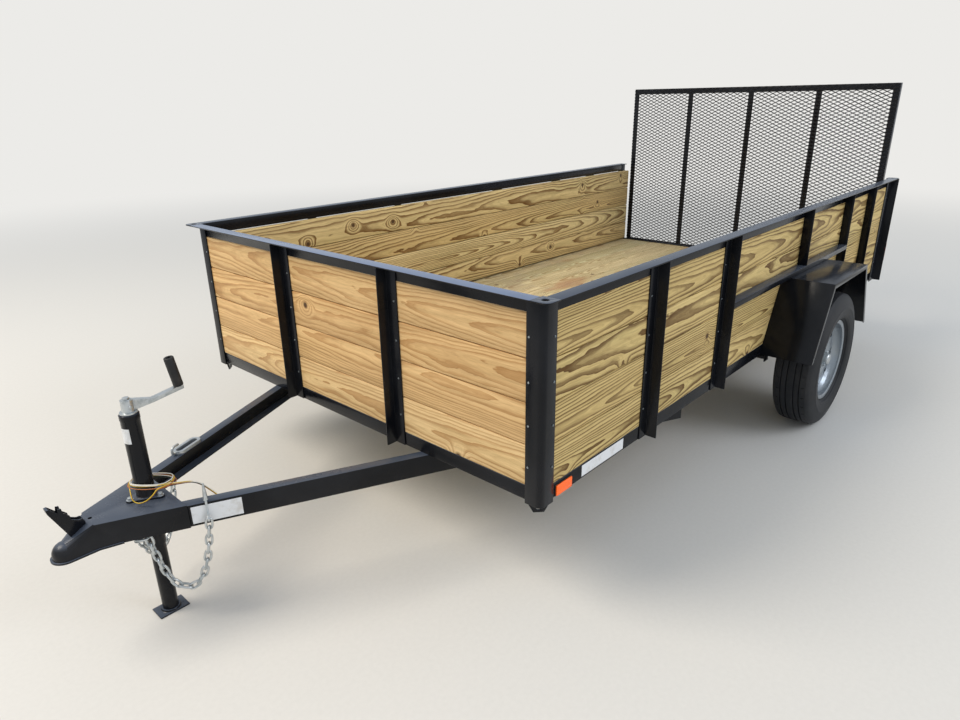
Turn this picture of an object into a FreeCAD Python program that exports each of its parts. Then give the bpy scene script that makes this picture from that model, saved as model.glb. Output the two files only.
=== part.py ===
"""Single-axle utility trailer with wooden sides and a mesh ramp gate.

Frame of the model: +X points forward to the coupler, +Y to the trailer's left,
+Z up. The origin is on the ground under the middle of the trailer's outline.
All sizes are in millimetres.
"""

import FreeCAD
import Part

import math
import os

import Sketcher
from FreeCAD import Placement, Rotation, Vector

doc = FreeCAD.newDocument("utility_trailer")
sheet = doc.addObject("Spreadsheet::Sheet", "Sizes")


# Driving dimensions: alias, value in millimetres or degrees, meaning

DIMENSIONS = (
    ("bed_length", 3740, "front face of the top rail to the rear of the side walls"),
    ("bed_width", 2058, "over the outer edges of the top rails"),
    ("frame_bottom", 440, "underside of the bottom frame above the ground"),
    ("angle_leg", 50.8, "leg of the angle iron of frame and top rail"),
    ("steel", 4.8, "wall of the angle iron and plates"),
    ("board_width", 139.7, "height of one side board"),
    ("board_thick", 38.1, "thickness of the side and floor boards"),
    ("board_gap", 1.6, "gap between neighbouring boards"),
    ("post_leg", 63.5, "leg of the formed corner posts"),
    ("post_round", 22, "outer radius of the formed corner posts"),
    ("post_drop", 10, "corner post below the bottom frame"),
    ("rear_post_flat", 95, "leg of the rear posts along the wall"),
    ("front_upright", 320, "front uprights from the middle line"),
    ("cap_size", 62, "side of the corner cap plates"),
    ("cap_hole", 11, "radius of the tie-down hole in a corner cap"),
    ("cap_round", 20, "corner radius of the corner caps"),
    ("tab_width", 70, "tie-down tab under a corner post"),
    ("tab_drop", 36, "tie-down tab below its post"),
    ("cross_width", 50.8, "leg of the cross members"),
    ("tongue_angle", 25, "half angle of the A-frame"),
    ("tongue_apex", 1000, "where the outer faces of the beams would meet"),
    ("beam_height", 76.2, "height of the tongue channels"),
    ("beam_flange", 38, "flange width of the tongue channels"),
    ("beam_web", 4.8, "web and flange thickness of the tongue channels"),
    ("beam_front", 885, "front end of the tongue beams"),
    ("beam_rear", 1040, "rear end of the tongue beams behind the front wall"),
    ("coupler_tip", 1024, "front end of the coupler"),
    ("coupler_neck", 905, "where the coupler's shell narrows to its neck"),
    ("coupler_skirt", 845, "where the coupler's underside starts to drop to the nose"),
    ("coupler_rear", 672, "rear edge of the coupler's top plate"),
    ("ball_x", 975, "middle of the ball socket"),
    ("ball_radius", 26.2, "radius of the ball socket"),
    ("ball_depth", 18, "straight depth of the ball socket"),
    ("nose_radius", 38, "outer radius of the coupler's nose"),
    ("nose_lip", 6, "rim round the mouth of the ball socket"),
    ("nose_top", 404, "top of the coupler's nose above the ground"),
    ("jack_x", 728, "middle of the jack tube"),
    ("jack_radius", 28.6, "outer radius of the jack tube"),
    ("jack_wall", 2.7, "wall of the jack tube"),
    ("jack_low", 268, "lower end of the jack tube above the ground"),
    ("jack_top", 735, "top of the jack tube above the ground"),
    ("leg_clear", 0.5, "clearance of the jack leg in its tube"),
    ("leg_top", 470, "upper end of the jack leg above the ground"),
    ("foot_length", 100, "length of the jack foot"),
    ("foot_width", 68, "width of the jack foot"),
    ("foot_plate", 5, "thickness of the jack foot"),
    ("ear_reach", 50, "jack axis to the bolts of its flange"),
    ("ear_radius", 13, "radius of the flange's ears round their bolts"),
    ("flange_thick", 6, "thickness of the jack's flange"),
    ("crank_reach", 162, "jack axis to the crank's grip"),
    ("crank_width", 20, "width of the crank's channel"),
    ("crank_wall", 3, "wall of the crank's channel"),
    ("crank_lean", 9, "rise of the crank's arm towards its grip, in degrees"),
    ("grip_length", 100, "length of the crank's grip"),
    ("grip_radius", 15.5, "radius of the crank's grip"),
    ("axle_x", 2191, "wheel axis behind the front wall"),
    ("axle_radius", 30.2, "radius of the axle tube"),
    ("tyre_gap", 31.5, "gap between the side walls and the tyres"),
    ("tyre_radius", 344, "outer radius of the tyre"),
    ("tyre_width", 203, "section width of the tyre"),
    ("tread_width", 152, "width of the tread"),
    ("bead_radius", 190.5, "radius of the rim's bead seat"),
    ("rim_width", 150, "distance between the outsides of the rim flanges"),
    ("rim_lip", 207, "outer radius of the rim flanges"),
    ("rim_wall", 3.2, "thickness of the wheel's steel"),
    ("hub_radius", 62, "radius of the hub flange"),
    ("cap_radius", 30, "radius of the grease cap"),
    ("spring_span", 660, "distance between the spring's eyes"),
    ("leaf_width", 44.5, "width of the spring leaves"),
    ("leaf_thick", 7.5, "thickness of a spring leaf"),
    ("fender_top", 795, "top of the fenders above the ground"),
    ("fender_foot", 447, "lower edge of the fenders above the ground"),
    ("fender_over", 4.5, "fender standing out past the tyre"),
    ("fender_half_top", 262, "half length of the fender's flat top"),
    ("fender_half_foot", 428, "half length of the fender at its feet"),
    ("fender_sheet", 2.5, "thickness of the fender's sheet"),
    ("fender_lip", 22, "turned-down lip along the fender's outer edge"),
    ("fender_rail_height", 25, "height of the rail that carries the fenders"),
    ("gate_gap", 6, "running gap between the rear posts and the gate"),
    ("gate_side", 49, "side of the gate short of the side walls"),
    ("gate_top", 1670, "top of the gate above the ground"),
    ("gate_leg", 38.1, "leg of the gate's angle iron"),
    ("gate_wall", 3.2, "wall of the gate's angle iron"),
    ("gate_low", 462, "lower edge of the gate frame above the ground"),
    ("hinge_height", 447, "gate hinge axis above the ground"),
    ("hinge_back", 27, "gate hinge axis behind the rear frame"),
    ("pin_radius", 8, "radius of the hinge pins"),
    ("pin_clear", 0.3, "clearance of the hinge pins in the gate's tubes"),
    ("hinge_tube", 13, "outer radius of the hinge tubes"),
    ("mesh_thick", 3, "thickness of the expanded metal"),
    ("mesh_long", 192, "long way of the mesh openings, centre to centre"),
    ("mesh_short", 94, "short way of the mesh openings, centre to centre"),
    ("mesh_strand", 12, "width of the strands of the expanded metal"),
    ("chain_wire", 7.5, "wire of the safety chains"),
    ("chain_pitch", 31, "inner length of a chain link"),
    ("wiring_low", 477, "lower side of the coiled wiring above the ground"),
    ("wiring_height", 22, "height of the coiled wiring"),
    ("wiring_thick", 18, "thickness of the coiled wiring"),
    ("lead_wire", 6, "diameter of the wiring that leaves the beam"),
    ("loop_wire", 3.2, "diameter of the pair of wires that hangs in front"),
)

for row, (alias, value, meaning) in enumerate(DIMENSIONS, start=1):
    sheet.set(f"A{row}", meaning)
    sheet.set(f"B{row}", str(value))
    sheet.setAlias(f"B{row}", alias)
doc.recompute()


class Dim:
    """A length as a sheet expression, with the number that it comes to."""

    def __init__(self, text, number):
        self.text = text
        self.number = number

    @staticmethod
    def of(other):
        return other if isinstance(other, Dim) else Dim(repr(float(other)), float(other))

    def __add__(self, other):
        other = Dim.of(other)
        return Dim(f"({self.text} + {other.text})", self.number + other.number)

    def __radd__(self, other):
        return Dim.of(other) + self

    def __sub__(self, other):
        other = Dim.of(other)
        return Dim(f"({self.text} - {other.text})", self.number - other.number)

    def __rsub__(self, other):
        return Dim.of(other) - self

    def __mul__(self, other):
        other = Dim.of(other)
        return Dim(f"({self.text} * {other.text})", self.number * other.number)

    def __rmul__(self, other):
        return Dim.of(other) * self

    def __truediv__(self, other):
        other = Dim.of(other)
        return Dim(f"({self.text} / {other.text})", self.number / other.number)

    def __neg__(self):
        return Dim(f"(0 - {self.text})", -self.number)

    def __float__(self):
        return float(self.number)


def size(alias):
    """The driving dimension with this alias."""
    return Dim(f"Sizes.{alias}", float(sheet.get(alias)))


def tangent(angle):
    """Tangent of an angle in degrees."""
    return Dim(f"tan({angle.text})", math.tan(math.radians(angle.number)))


def sine(angle):
    """Sine of an angle in degrees."""
    return Dim(f"sin({angle.text})", math.sin(math.radians(angle.number)))


def root(square):
    """Square root of a dimension."""
    return Dim(f"sqrt({square.text})", math.sqrt(square.number))


def cosine(angle):
    """Cosine of an angle in degrees."""
    return Dim(f"cos({angle.text})", math.cos(math.radians(angle.number)))


# Places shared by several pieces

bed_length = size("bed_length")
half_width = size("bed_width") / 2
frame_bottom = size("frame_bottom")
angle_leg = size("angle_leg")
steel = size("steel")
board_width = size("board_width")
board_thick = size("board_thick")
board_gap = size("board_gap")

rear_reach = bed_length + size("gate_gap") + size("gate_leg") + size("mesh_thick")
front_x = (rear_reach - size("coupler_tip")) / 2
rear_x = front_x - bed_length
wall_set = angle_leg - steel
wall_front = front_x - wall_set
wall_side = half_width - wall_set
boards_low = frame_bottom + angle_leg
boards_top = boards_low + board_width * 4
rail_top = boards_top + angle_leg
floor_low = frame_bottom + steel
axle_x = front_x - size("axle_x")
axle_z = size("tyre_radius")
post_front = wall_front + steel
post_side = wall_side + steel

NODES = {}


# Ways of making pieces

AXIS_VECTORS = {"x": Vector(1, 0, 0), "y": Vector(0, 1, 0), "z": Vector(0, 0, 1)}
PLANES = {"x": "YZ_Plane", "y": "XZ_Plane", "z": "XY_Plane"}


def bind(target, prop, dim):
    """Bind one property to the expression of a dimension."""
    target.setExpression(prop, Dim.of(dim).text)


def bind_place(target, x=0.0, y=0.0, z=0.0):
    """Bind an object's position."""
    for letter, dim in (("x", x), ("y", y), ("z", z)):
        bind(target, f"Placement.Base.{letter}", dim)


def box(name, x, y, z):
    """A box between two places along each axis."""
    made = doc.addObject("Part::Box", name)
    for prop, (low, high) in (("Length", x), ("Width", y), ("Height", z)):
        bind(made, prop, Dim.of(high) - low)
    bind_place(made, x[0], y[0], z[0])
    return made


def cylinder(name, axis, radius, span, a=0.0, b=0.0):
    """A cylinder along an axis; a and b are its other two coordinates in order."""
    made = doc.addObject("Part::Cylinder", name)
    bind(made, "Radius", radius)
    bind(made, "Height", Dim.of(span[1]) - span[0])
    made.Placement = Placement(Vector(), Rotation(Vector(0, 0, 1), AXIS_VECTORS[axis]))
    place = {"x": (span[0], a, b), "y": (a, span[0], b), "z": (a, b, span[0])}[axis]
    bind_place(made, *place)
    return made


def fuse(name, pieces):
    """One solid of pieces that are joined."""
    made = doc.addObject("Part::MultiFuse", name)
    made.Shapes = pieces
    made.Refine = True
    return made


def cut(name, base, tool):
    """What is left of the base without the tool."""
    made = doc.addObject("Part::Cut", name)
    made.Base = base
    made.Tool = tool
    made.Refine = True
    return made


def group(name, pieces):
    """Like pieces of one node that don't touch each other."""
    made = doc.addObject("Part::Compound", name)
    made.Links = pieces
    return made


def shared(name, pieces):
    """What several pieces have in common."""
    made = doc.addObject("Part::MultiCommon", name)
    made.Shapes = pieces
    made.Refine = True
    return made


def origin_plane(body, role):
    """One of a body's own origin planes."""
    for feature in body.Origin.OriginFeatures:
        if feature.Role == role:
            return feature
    raise ValueError(role)


def outline(body, name, role, points):
    """A closed sketch whose corners are bound to dimensions."""
    sketch = body.newObject("Sketcher::SketchObject", name)
    sketch.AttachmentSupport = [(origin_plane(body, role), "")]
    sketch.MapMode = "FlatFace"
    corners = [(Dim.of(u), Dim.of(v)) for u, v in points]
    count = len(corners)
    for index, (u, v) in enumerate(corners):
        u_next, v_next = corners[(index + 1) % count]
        start = Vector(u.number, v.number, 0)
        end = Vector(u_next.number, v_next.number, 0)
        sketch.addGeometry(Part.LineSegment(start, end), False)
    for index in range(count):
        sketch.addConstraint(Sketcher.Constraint("Coincident", index, 2, (index + 1) % count, 1))
    for index, pair in enumerate(corners):
        for kind, on_axis, dim in (("DistanceX", -2, pair[0]), ("DistanceY", -1, pair[1])):
            if dim.number == 0.0:
                sketch.addConstraint(Sketcher.Constraint("PointOnObject", index, 1, on_axis))
                continue
            made = sketch.addConstraint(Sketcher.Constraint(kind, -1, 1, index, 1, dim.number))
            sketch.setExpression(f"Constraints[{made}]", dim.text)
    return sketch


def bar(name, axis, span, points):
    """A straight bar of constant section; its points are its other two coordinates."""
    body = doc.addObject("PartDesign::Body", name)
    sketch = outline(body, f"{name}_section", PLANES[axis], points)
    pad = body.newObject("PartDesign::Pad", f"{name}_pad")
    pad.Profile = sketch
    bind(pad, "Length", Dim.of(span[1]) - span[0])
    body.Tip = pad
    start = span[1] if axis == "y" else span[0]
    bind(body, f"Placement.Base.{axis}", start)
    return body


def angle_points(a, b, leg_a, leg_b, wall):
    """Section of an angle bar with its heel at (a, b); legs may point either way."""
    wall_a = wall if float(leg_a) > 0 else -wall
    wall_b = wall if float(leg_b) > 0 else -wall
    return (
        (a, b),
        (a + leg_a, b),
        (a + leg_a, b + wall_b),
        (a + wall_a, b + wall_b),
        (a + wall_a, b + leg_b),
        (a, b + leg_b),
    )


def node(label, made):
    """Register a finished sub-part under its name."""
    made.Label = label
    NODES[label] = made
    return made


def rounded(body, name, test, radius):
    """Round a body's edges whose two ends pass a test."""
    doc.recompute()
    base = body.Tip
    names = []
    for index, edge in enumerate(base.Shape.Edges, start=1):
        ends = [vertex.Point for vertex in edge.Vertexes]
        if len(ends) == 2 and test(ends[0]) and test(ends[1]):
            names.append(f"Edge{index}")
    fillet = body.newObject("PartDesign::Fillet", name)
    fillet.Base = (base, names)
    bind(fillet, "Radius", radius)
    body.Tip = fillet
    return body


def near(place, target):
    """Whether a coordinate lies at a place."""
    return abs(place - float(target)) < 0.01


def turned_body(name, points, x, y, z):
    """A solid of revolution about the wheel axis; points are (across, radius)."""
    body = doc.addObject("PartDesign::Body", name)
    sketch = outline(body, f"{name}_profile", "YZ_Plane", points)
    spun = body.newObject("PartDesign::Revolution", f"{name}_spun")
    spun.Profile = sketch
    spun.ReferenceAxis = (sketch, ["H_Axis"])
    spun.Angle = 360
    body.Tip = spun
    bind_place(body, x, y, z)
    return body


# Bottom frame: angle iron all round, floor leg at the bottom

side_inner = wall_side - angle_leg
front_inner = wall_front - angle_leg
rear_inner = rear_x + angle_leg
frame_bars = [
    bar("frame_left", "x", (rear_x, wall_front),
        angle_points(wall_side, frame_bottom, -angle_leg, angle_leg, steel)),
    bar("frame_right", "x", (rear_x, wall_front),
        angle_points(-wall_side, frame_bottom, angle_leg, angle_leg, steel)),
    bar("frame_front", "y", (-wall_side, wall_side),
        angle_points(wall_front, frame_bottom, -angle_leg, angle_leg, steel)),
    bar("frame_rear", "y", (-wall_side, wall_side),
        angle_points(rear_x, frame_bottom, angle_leg, angle_leg, steel)),
]
post_round = size("post_round")
corner_reliefs = []
for side_name, side in (("left", 1), ("right", -1)):
    near_side, far_side = (wall_side - post_round) * side, (wall_side + 1) * side
    across = (near_side, far_side) if side > 0 else (far_side, near_side)
    corner_reliefs.append(box(f"frame_relief_{side_name}",
                              (wall_front - post_round, wall_front + 1), across,
                              (frame_bottom - 1, boards_low + 1)))
node("bottom_frame", cut("bottom_frame_cut", fuse("bottom_frame_solid", frame_bars),
                         group("frame_reliefs", corner_reliefs)))


# Tongue beams: channels with the web outside and the flanges inward

beam_top = frame_bottom
beam_low = beam_top - size("beam_height")
tongue_angle = size("tongue_angle")
apex_x = front_x + size("tongue_apex")
beam_start = (size("tongue_apex") - size("beam_front")) / cosine(tongue_angle)
beam_end = (size("tongue_apex") + size("beam_rear")) / cosine(tongue_angle)
flange = size("beam_flange")
web = size("beam_web")
SIDES = (("left", 1), ("right", -1))


def along_beam(name, side, span, points):
    """A bar along one tongue beam; spans count from the apex, sections from the outer face."""
    body = doc.addObject("PartDesign::Body", name)
    sketch = outline(body, f"{name}_section", "YZ_Plane", points)
    pad = body.newObject("PartDesign::Pad", f"{name}_pad")
    pad.Profile = sketch
    pad.Reversed = True
    bind(pad, "Length", span[1] - span[0])
    body.Tip = pad
    body.Placement = Placement(Vector(), Rotation(Vector(0, 0, -side), tongue_angle.number))
    bind(body, "Placement.Rotation.Angle", tongue_angle)
    bind_place(body, apex_x - span[0] * cosine(tongue_angle),
               span[0] * sine(tongue_angle) * side)
    return body


def beam_points(side):
    """Channel section; the first coordinate runs across the beam."""
    return (
        (0.0, beam_low),
        (flange * -side, beam_low),
        (flange * -side, beam_low + web),
        (web * -side, beam_low + web),
        (web * -side, beam_top - web),
        (flange * -side, beam_top - web),
        (flange * -side, beam_top),
        (0.0, beam_top),
    )


for side_name, side in SIDES:
    node(f"tongue_beam_{side_name}",
         along_beam(f"beam_{side_name}", side, (beam_start, beam_end), beam_points(side)))


# Cross members under the floor, the front ones notched over the tongue beams

CROSS_MEMBERS = 7
NOTCHED_MEMBERS = 2
NOTCH_CLEAR = 2.0
cross_step = (front_inner - rear_inner) / (CROSS_MEMBERS + 1)
cross_width = size("cross_width")
cross_bars = []
for index in range(CROSS_MEMBERS):
    heel = front_inner - cross_step * (index + 1)
    member = bar(f"cross_bar_{index + 1}", "y", (-side_inner, side_inner),
                 angle_points(heel, floor_low, -cross_width, -cross_width, steel))
    for side_name, side in SIDES if index < NOTCHED_MEMBERS else ():
        near_side = Dim.of(NOTCH_CLEAR * side)
        far_side = (flange + NOTCH_CLEAR) * -side
        room = ((near_side, beam_low), (far_side, beam_low), (far_side, beam_top),
                (near_side, beam_top))
        notch = along_beam(f"notch_{side_name}_{index + 1}", side,
                           (beam_start, beam_end + NOTCH_CLEAR), room)
        member = cut(f"cross_{index + 1}_{side_name}", member, notch)
    cross_bars.append(member)
node("cross_members", group("cross_member_set", cross_bars))


# Side boards and floor boards

front_boards_inner = wall_front - board_thick
side_boards_inner = wall_side - board_thick
SIDE_BOARDS = 4
WALLS = (
    ("boards_left", (rear_x, front_boards_inner - board_gap), (side_boards_inner, wall_side)),
    ("boards_right", (rear_x, front_boards_inner - board_gap), (-wall_side, -side_boards_inner)),
    ("boards_front", (front_boards_inner, wall_front),
     (post_round - wall_side, wall_side - post_round)),
)
for wall_name, along_x, along_y in WALLS:
    planks = []
    for index in range(SIDE_BOARDS):
        low = boards_low + board_width * index
        planks.append(box(f"{wall_name}_{index + 1}", along_x, along_y,
                          (low, low + board_width - board_gap)))
    node(wall_name, group(f"{wall_name}_set", planks))

FLOOR_BOARDS = 14
floor_half = wall_side - steel - board_gap
floor_step = floor_half * 2 / FLOOR_BOARDS
floor_planks = []
for index in range(FLOOR_BOARDS):
    low = floor_step * index - floor_half
    floor_planks.append(box(f"floor_board_{index + 1}",
                            (rear_x + steel + board_gap, wall_front - steel - board_gap),
                            (low, low + floor_step - board_gap),
                            (floor_low, floor_low + board_thick)))
node("floor_boards", group("floor_board_set", floor_planks))


# Top rails: the upright leg stands on the boards, the flat leg points outward

cap_size = size("cap_size")
rail_rear = rear_x + cap_size
rail_front = front_x - cap_size
rail_half = half_width - cap_size
TOP_RAILS = (
    ("top_rail_left", "x", (rail_rear, rail_front),
     angle_points(wall_side - steel, rail_top, angle_leg, -angle_leg, steel)),
    ("top_rail_right", "x", (rail_rear, rail_front),
     angle_points(steel - wall_side, rail_top, -angle_leg, -angle_leg, steel)),
    ("top_rail_front", "y", (-rail_half, rail_half),
     angle_points(wall_front - steel, rail_top, angle_leg, -angle_leg, steel)),
)
for rail_name, axis, span, points in TOP_RAILS:
    node(rail_name, bar(f"{rail_name}_bar", axis, span, points))


# Uprights: one leg flat on the boards, the other standing out as far as the top rail

under_rail = rail_top - steel
fender_top = size("fender_top")
fender_rail_top = fender_top + size("fender_rail_height")
FORWARD = 1
REARWARD = -1
axle_behind = size("axle_x")
UPRIGHTS = (
    ("1", Dim.of(678.0), FORWARD, frame_bottom),
    ("2", axle_behind - 923.0, FORWARD, frame_bottom),
    ("3", axle_behind - 71.0, REARWARD, fender_rail_top),
    ("4", axle_behind + 589.0, REARWARD, frame_bottom),
    ("5", bed_length - 508.0, REARWARD, frame_bottom),
)
for side_name, side in SIDES:
    posts = []
    for number, behind, flat_way, low in UPRIGHTS:
        points = angle_points(front_x - behind, wall_side * side, angle_leg * flat_way,
                              wall_set * side, steel)
        posts.append(bar(f"upright_{side_name}_{number}", "z", (low, under_rail), points))
    node(f"uprights_{side_name}", group(f"upright_set_{side_name}", posts))

front_posts = []
for side_name, side in SIDES:
    points = angle_points(wall_front, size("front_upright") * side, wall_set, angle_leg, steel)
    front_posts.append(bar(f"upright_front_{side_name}", "z", (frame_bottom, under_rail), points))
node("uprights_front", group("upright_set_front", front_posts))


# Corner posts: formed round the front corners, angle iron at the rear

post_low = frame_bottom - size("post_drop")
post_leg = size("post_leg")


def front_post(name, side):
    """A formed corner post, rounded outside and inside."""
    points = angle_points(post_front, post_side * side, -post_leg, post_leg * -side, steel)
    body = bar(name, "z", (post_low, under_rail), points)

    def outer(point):
        return near(point.x, post_front) and near(abs(point.y), post_side)

    def inner(point):
        return near(point.x, wall_front) and near(abs(point.y), wall_side)

    rounded(body, f"{name}_outside", outer, post_round)
    return rounded(body, f"{name}_inside", inner, post_round - steel)


node("corner_posts_front", group("front_post_set", [
    front_post(f"front_post_{side_name}", side) for side_name, side in SIDES
]))
rear_posts = []
for side_name, side in SIDES:
    points = angle_points(rear_x, wall_side * side, size("rear_post_flat"), wall_set * side, steel)
    rear_posts.append(bar(f"rear_post_{side_name}", "z", (post_low, under_rail), points))
node("corner_posts_rear", group("rear_post_set", rear_posts))


# Corner caps with tie-down holes

def corner_cap(name, x_out, x_in, side):
    """A cap plate with one rounded corner and a hole."""
    y_out = half_width * side
    y_in = (half_width - cap_size) * side
    body = bar(name, "z", (under_rail, rail_top),
               ((x_in, y_in), (x_out, y_in), (x_out, y_out), (x_in, y_out)))

    def corner(point):
        return near(point.x, x_out) and near(point.y, y_out)

    rounded(body, f"{name}_corner", corner, size("cap_round"))
    hole = cylinder(f"{name}_hole", "z", size("cap_hole"), (under_rail - 1, rail_top + 1),
                    (x_out + x_in) / 2, (y_out + y_in) / 2)
    return cut(f"{name}_plate", body, hole)


caps = []
for side_name, side in SIDES:
    caps.append(corner_cap(f"cap_front_{side_name}", front_x, front_x - cap_size, side))
    caps.append(corner_cap(f"cap_rear_{side_name}", rear_x, rear_x + cap_size, side))
node("corner_caps", group("corner_cap_set", caps))


# Tie-down tabs: plates across the front corners under the frame

TAB_THICK = 6.0
TAB_HOLE = 10.0
tab_half = size("tab_width") / 2
tab_set = angle_leg / 2 + TAB_THICK
tab_hole_drop = size("post_drop") + size("tab_drop") / 2
tabs = []
for side_name, side in SIDES:
    body = doc.addObject("PartDesign::Body", f"tab_{side_name}")
    sketch = outline(body, f"tab_{side_name}_outline", "YZ_Plane", (
        (-tab_half, 0.0), (tab_half, 0.0), (tab_half, -tab_half / 3),
        (tab_half / 2, -(size("post_drop") + size("tab_drop"))),
        (-tab_half / 2, -(size("post_drop") + size("tab_drop"))), (-tab_half, -tab_half / 3),
    ))
    pad = body.newObject("PartDesign::Pad", f"tab_{side_name}_pad")
    pad.Profile = sketch
    pad.Length = TAB_THICK
    body.Tip = pad
    body.Placement = Placement(Vector(), Rotation(Vector(0, 0, 1), 45 * side))
    bind_place(body, wall_front - tab_set, (wall_side - tab_set) * side, frame_bottom)
    hole = doc.addObject("Part::Cylinder", f"tab_hole_{side_name}")
    hole.Radius = TAB_HOLE
    hole.Height = TAB_THICK * 4
    hole.Placement = Placement(Vector(), Rotation(Vector(0, 0, 1), 45 * side)
                               * Rotation(Vector(0, 1, 0), 90))
    bind_place(hole, wall_front - tab_set - TAB_THICK, (wall_side - tab_set - TAB_THICK) * side,
               frame_bottom - tab_hole_drop)
    tabs.append(cut(f"tab_plate_{side_name}", body, hole))
node("tie_down_tabs", group("tab_set", tabs))


# Fenders: a folded sheet over each wheel with a turned-down lip

wheel_y = wall_side + size("tyre_gap") + size("tyre_width") / 2
rise = fender_top - size("fender_foot")
run = size("fender_half_foot") - size("fender_half_top")
slope = root(rise * rise + run * run) / rise
turn_in = slope - run / rise


def fender_edge(depth):
    """Corners of the fender's line, set inward by a depth, front foot to rear foot."""
    foot = size("fender_half_foot") - depth * slope
    top = size("fender_half_top") - depth * turn_in
    return (
        (axle_x + foot, size("fender_foot")),
        (axle_x + top, fender_top - depth),
        (axle_x - top, fender_top - depth),
        (axle_x - foot, size("fender_foot")),
    )


def fender(name, side):
    """Sheet and lip of one fender."""
    outer = wheel_y + size("tyre_width") / 2 + size("fender_over")
    sheet_thick = size("fender_sheet")
    across = (wall_side, outer) if side > 0 else (-outer, -wall_side)
    lip_across = (outer - sheet_thick, outer) if side > 0 else (-outer, sheet_thick - outer)
    skin = bar(f"{name}_skin", "y", across,
               fender_edge(0.0) + tuple(reversed(fender_edge(sheet_thick))))
    lip = bar(f"{name}_lip", "y", lip_across,
              fender_edge(0.0) + tuple(reversed(fender_edge(size("fender_lip")))))
    return fuse(name, [skin, lip])


for side_name, side in SIDES:
    node(f"fender_{side_name}", fender(f"fender_body_{side_name}", side))
    points = angle_points(half_width * side, fender_rail_top, wall_set * -side,
                          -size("fender_rail_height"), steel)
    span = (front_x - UPRIGHTS[3][1], front_x - UPRIGHTS[1][1])
    node(f"fender_rail_{side_name}", bar(f"fender_rail_bar_{side_name}", "x", span, points))


# Axle, leaf springs and their hangers

axle_radius = size("axle_radius")
spring_y = wall_side - angle_leg / 2
leaf = size("leaf_thick")
half_leaf = size("leaf_width") / 2
half_span = size("spring_span") / 2
EYE_RADIUS = 14.0
SPINDLE_RADIUS = 17.0
SEAT_HALF = 45.0
PLATE = 6.0
eye_z = frame_bottom - 34
spring_low = axle_z + axle_radius
hub_inner = wheel_y - 62
tube_end = hub_inner - 12
axle_tube = cylinder("axle_tube", "y", axle_radius, (-tube_end, tube_end), axle_x, axle_z)
spindles = cylinder("axle_spindles", "y", SPINDLE_RADIUS, (-(wheel_y + 20), wheel_y + 20),
                    axle_x, axle_z)
node("axle", fuse("axle_solid", [axle_tube, spindles]))

springs = []
hangers = []
for side_name, side in SIDES:
    across = (spring_y * side - half_leaf, spring_y * side + half_leaf)
    main_points = (
        (axle_x + half_span, eye_z - leaf / 2),
        (axle_x + half_span, eye_z + leaf / 2),
        (axle_x + SEAT_HALF, spring_low + leaf * 2),
        (axle_x - SEAT_HALF, spring_low + leaf * 2),
        (axle_x - half_span, eye_z + leaf / 2),
        (axle_x - half_span, eye_z - leaf / 2),
        (axle_x - half_span * 0.6, spring_low + leaf * 0.75),
        (axle_x - SEAT_HALF, spring_low),
        (axle_x + SEAT_HALF, spring_low),
        (axle_x + half_span * 0.6, spring_low + leaf * 0.75),
    )
    leaves = bar(f"leaves_{side_name}", "y", across, main_points)
    eyes = [cylinder(f"eye_{side_name}_{way}", "y", EYE_RADIUS, across,
                     axle_x + half_span * way, eye_z) for way in (-1, 1)]
    springs.append(fuse(f"spring_{side_name}", [leaves] + eyes))
    for way in (-1, 1):
        middle = axle_x + half_span * way
        cheeks = []
        for cheek in (-1, 1):
            inner_face = spring_y * side + (half_leaf + 1) * cheek
            outer_face = inner_face + PLATE * cheek
            low, high = (inner_face, outer_face) if cheek > 0 else (outer_face, inner_face)
            cheeks.append(box(f"cheek_{side_name}_{way}_{cheek}", (middle - 22, middle + 22),
                              (low, high), (eye_z - 20, frame_bottom)))
        bolt = cylinder(f"eye_bolt_{side_name}_{way}", "y", 7.0,
                        (spring_y * side - half_leaf - 1, spring_y * side + half_leaf + 1),
                        middle, eye_z)
        hangers.append(fuse(f"hanger_{side_name}_{way}", cheeks + [bolt]))
spring_pairs = []
for spring in springs:
    holes = [cylinder(f"{spring.Name}_bore_{way}", "y", 7.2, (-half_width, half_width),
                      axle_x + half_span * way, eye_z) for way in (-1, 1)]
    spring_pairs.append(cut(f"{spring.Name}_bored", spring, group(f"{spring.Name}_bores", holes)))
node("leaf_springs", group("leaf_spring_set", spring_pairs))
node("spring_hangers", group("spring_hanger_set", hangers))


# Wheels: tyre, rim and hub on each side

BEAD_CLEAR = 0.3
BEAD_SEAT = 9.0
TREAD_WALL = 18.0
SIDE_WALL = 14.0
tyre_radius = size("tyre_radius")
tyre_half = size("tyre_width") / 2
tread_half = size("tread_width") / 2
rim_half = size("rim_width") / 2
rim_wall = size("rim_wall")
bead = size("bead_radius")
bead_across = rim_half - rim_wall - BEAD_CLEAR
bulge = (bead + tyre_radius) / 2

# One side of the tyre's section from the crown out and back in: (across, radius)
TYRE_SECTION = (
    (0.0, tyre_radius),
    (tread_half - 14, tyre_radius - 1.5),
    (tread_half + 4, tyre_radius - 7),
    (tread_half + 14, tyre_radius - 22),
    (tyre_half - 4, bulge + 26),
    (tyre_half, bulge + 2),
    (tyre_half - 5, bulge - 24),
    (rim_half + 3, size("rim_lip") + 7),
    (bead_across, size("rim_lip")),
    (bead_across, bead + BEAD_CLEAR),
    (bead_across - BEAD_SEAT, bead + BEAD_CLEAR),
    (tyre_half - SIDE_WALL, bulge - 4),
    (tread_half - 10, tyre_radius - TREAD_WALL),
)


def tyre_points():
    """The whole section of the tyre, both sides of the crown."""
    outside = [(Dim.of(across), Dim.of(out)) for across, out in TYRE_SECTION]
    inside = [(-across, out) for across, out in reversed(outside[1:])]
    return outside + inside


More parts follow.
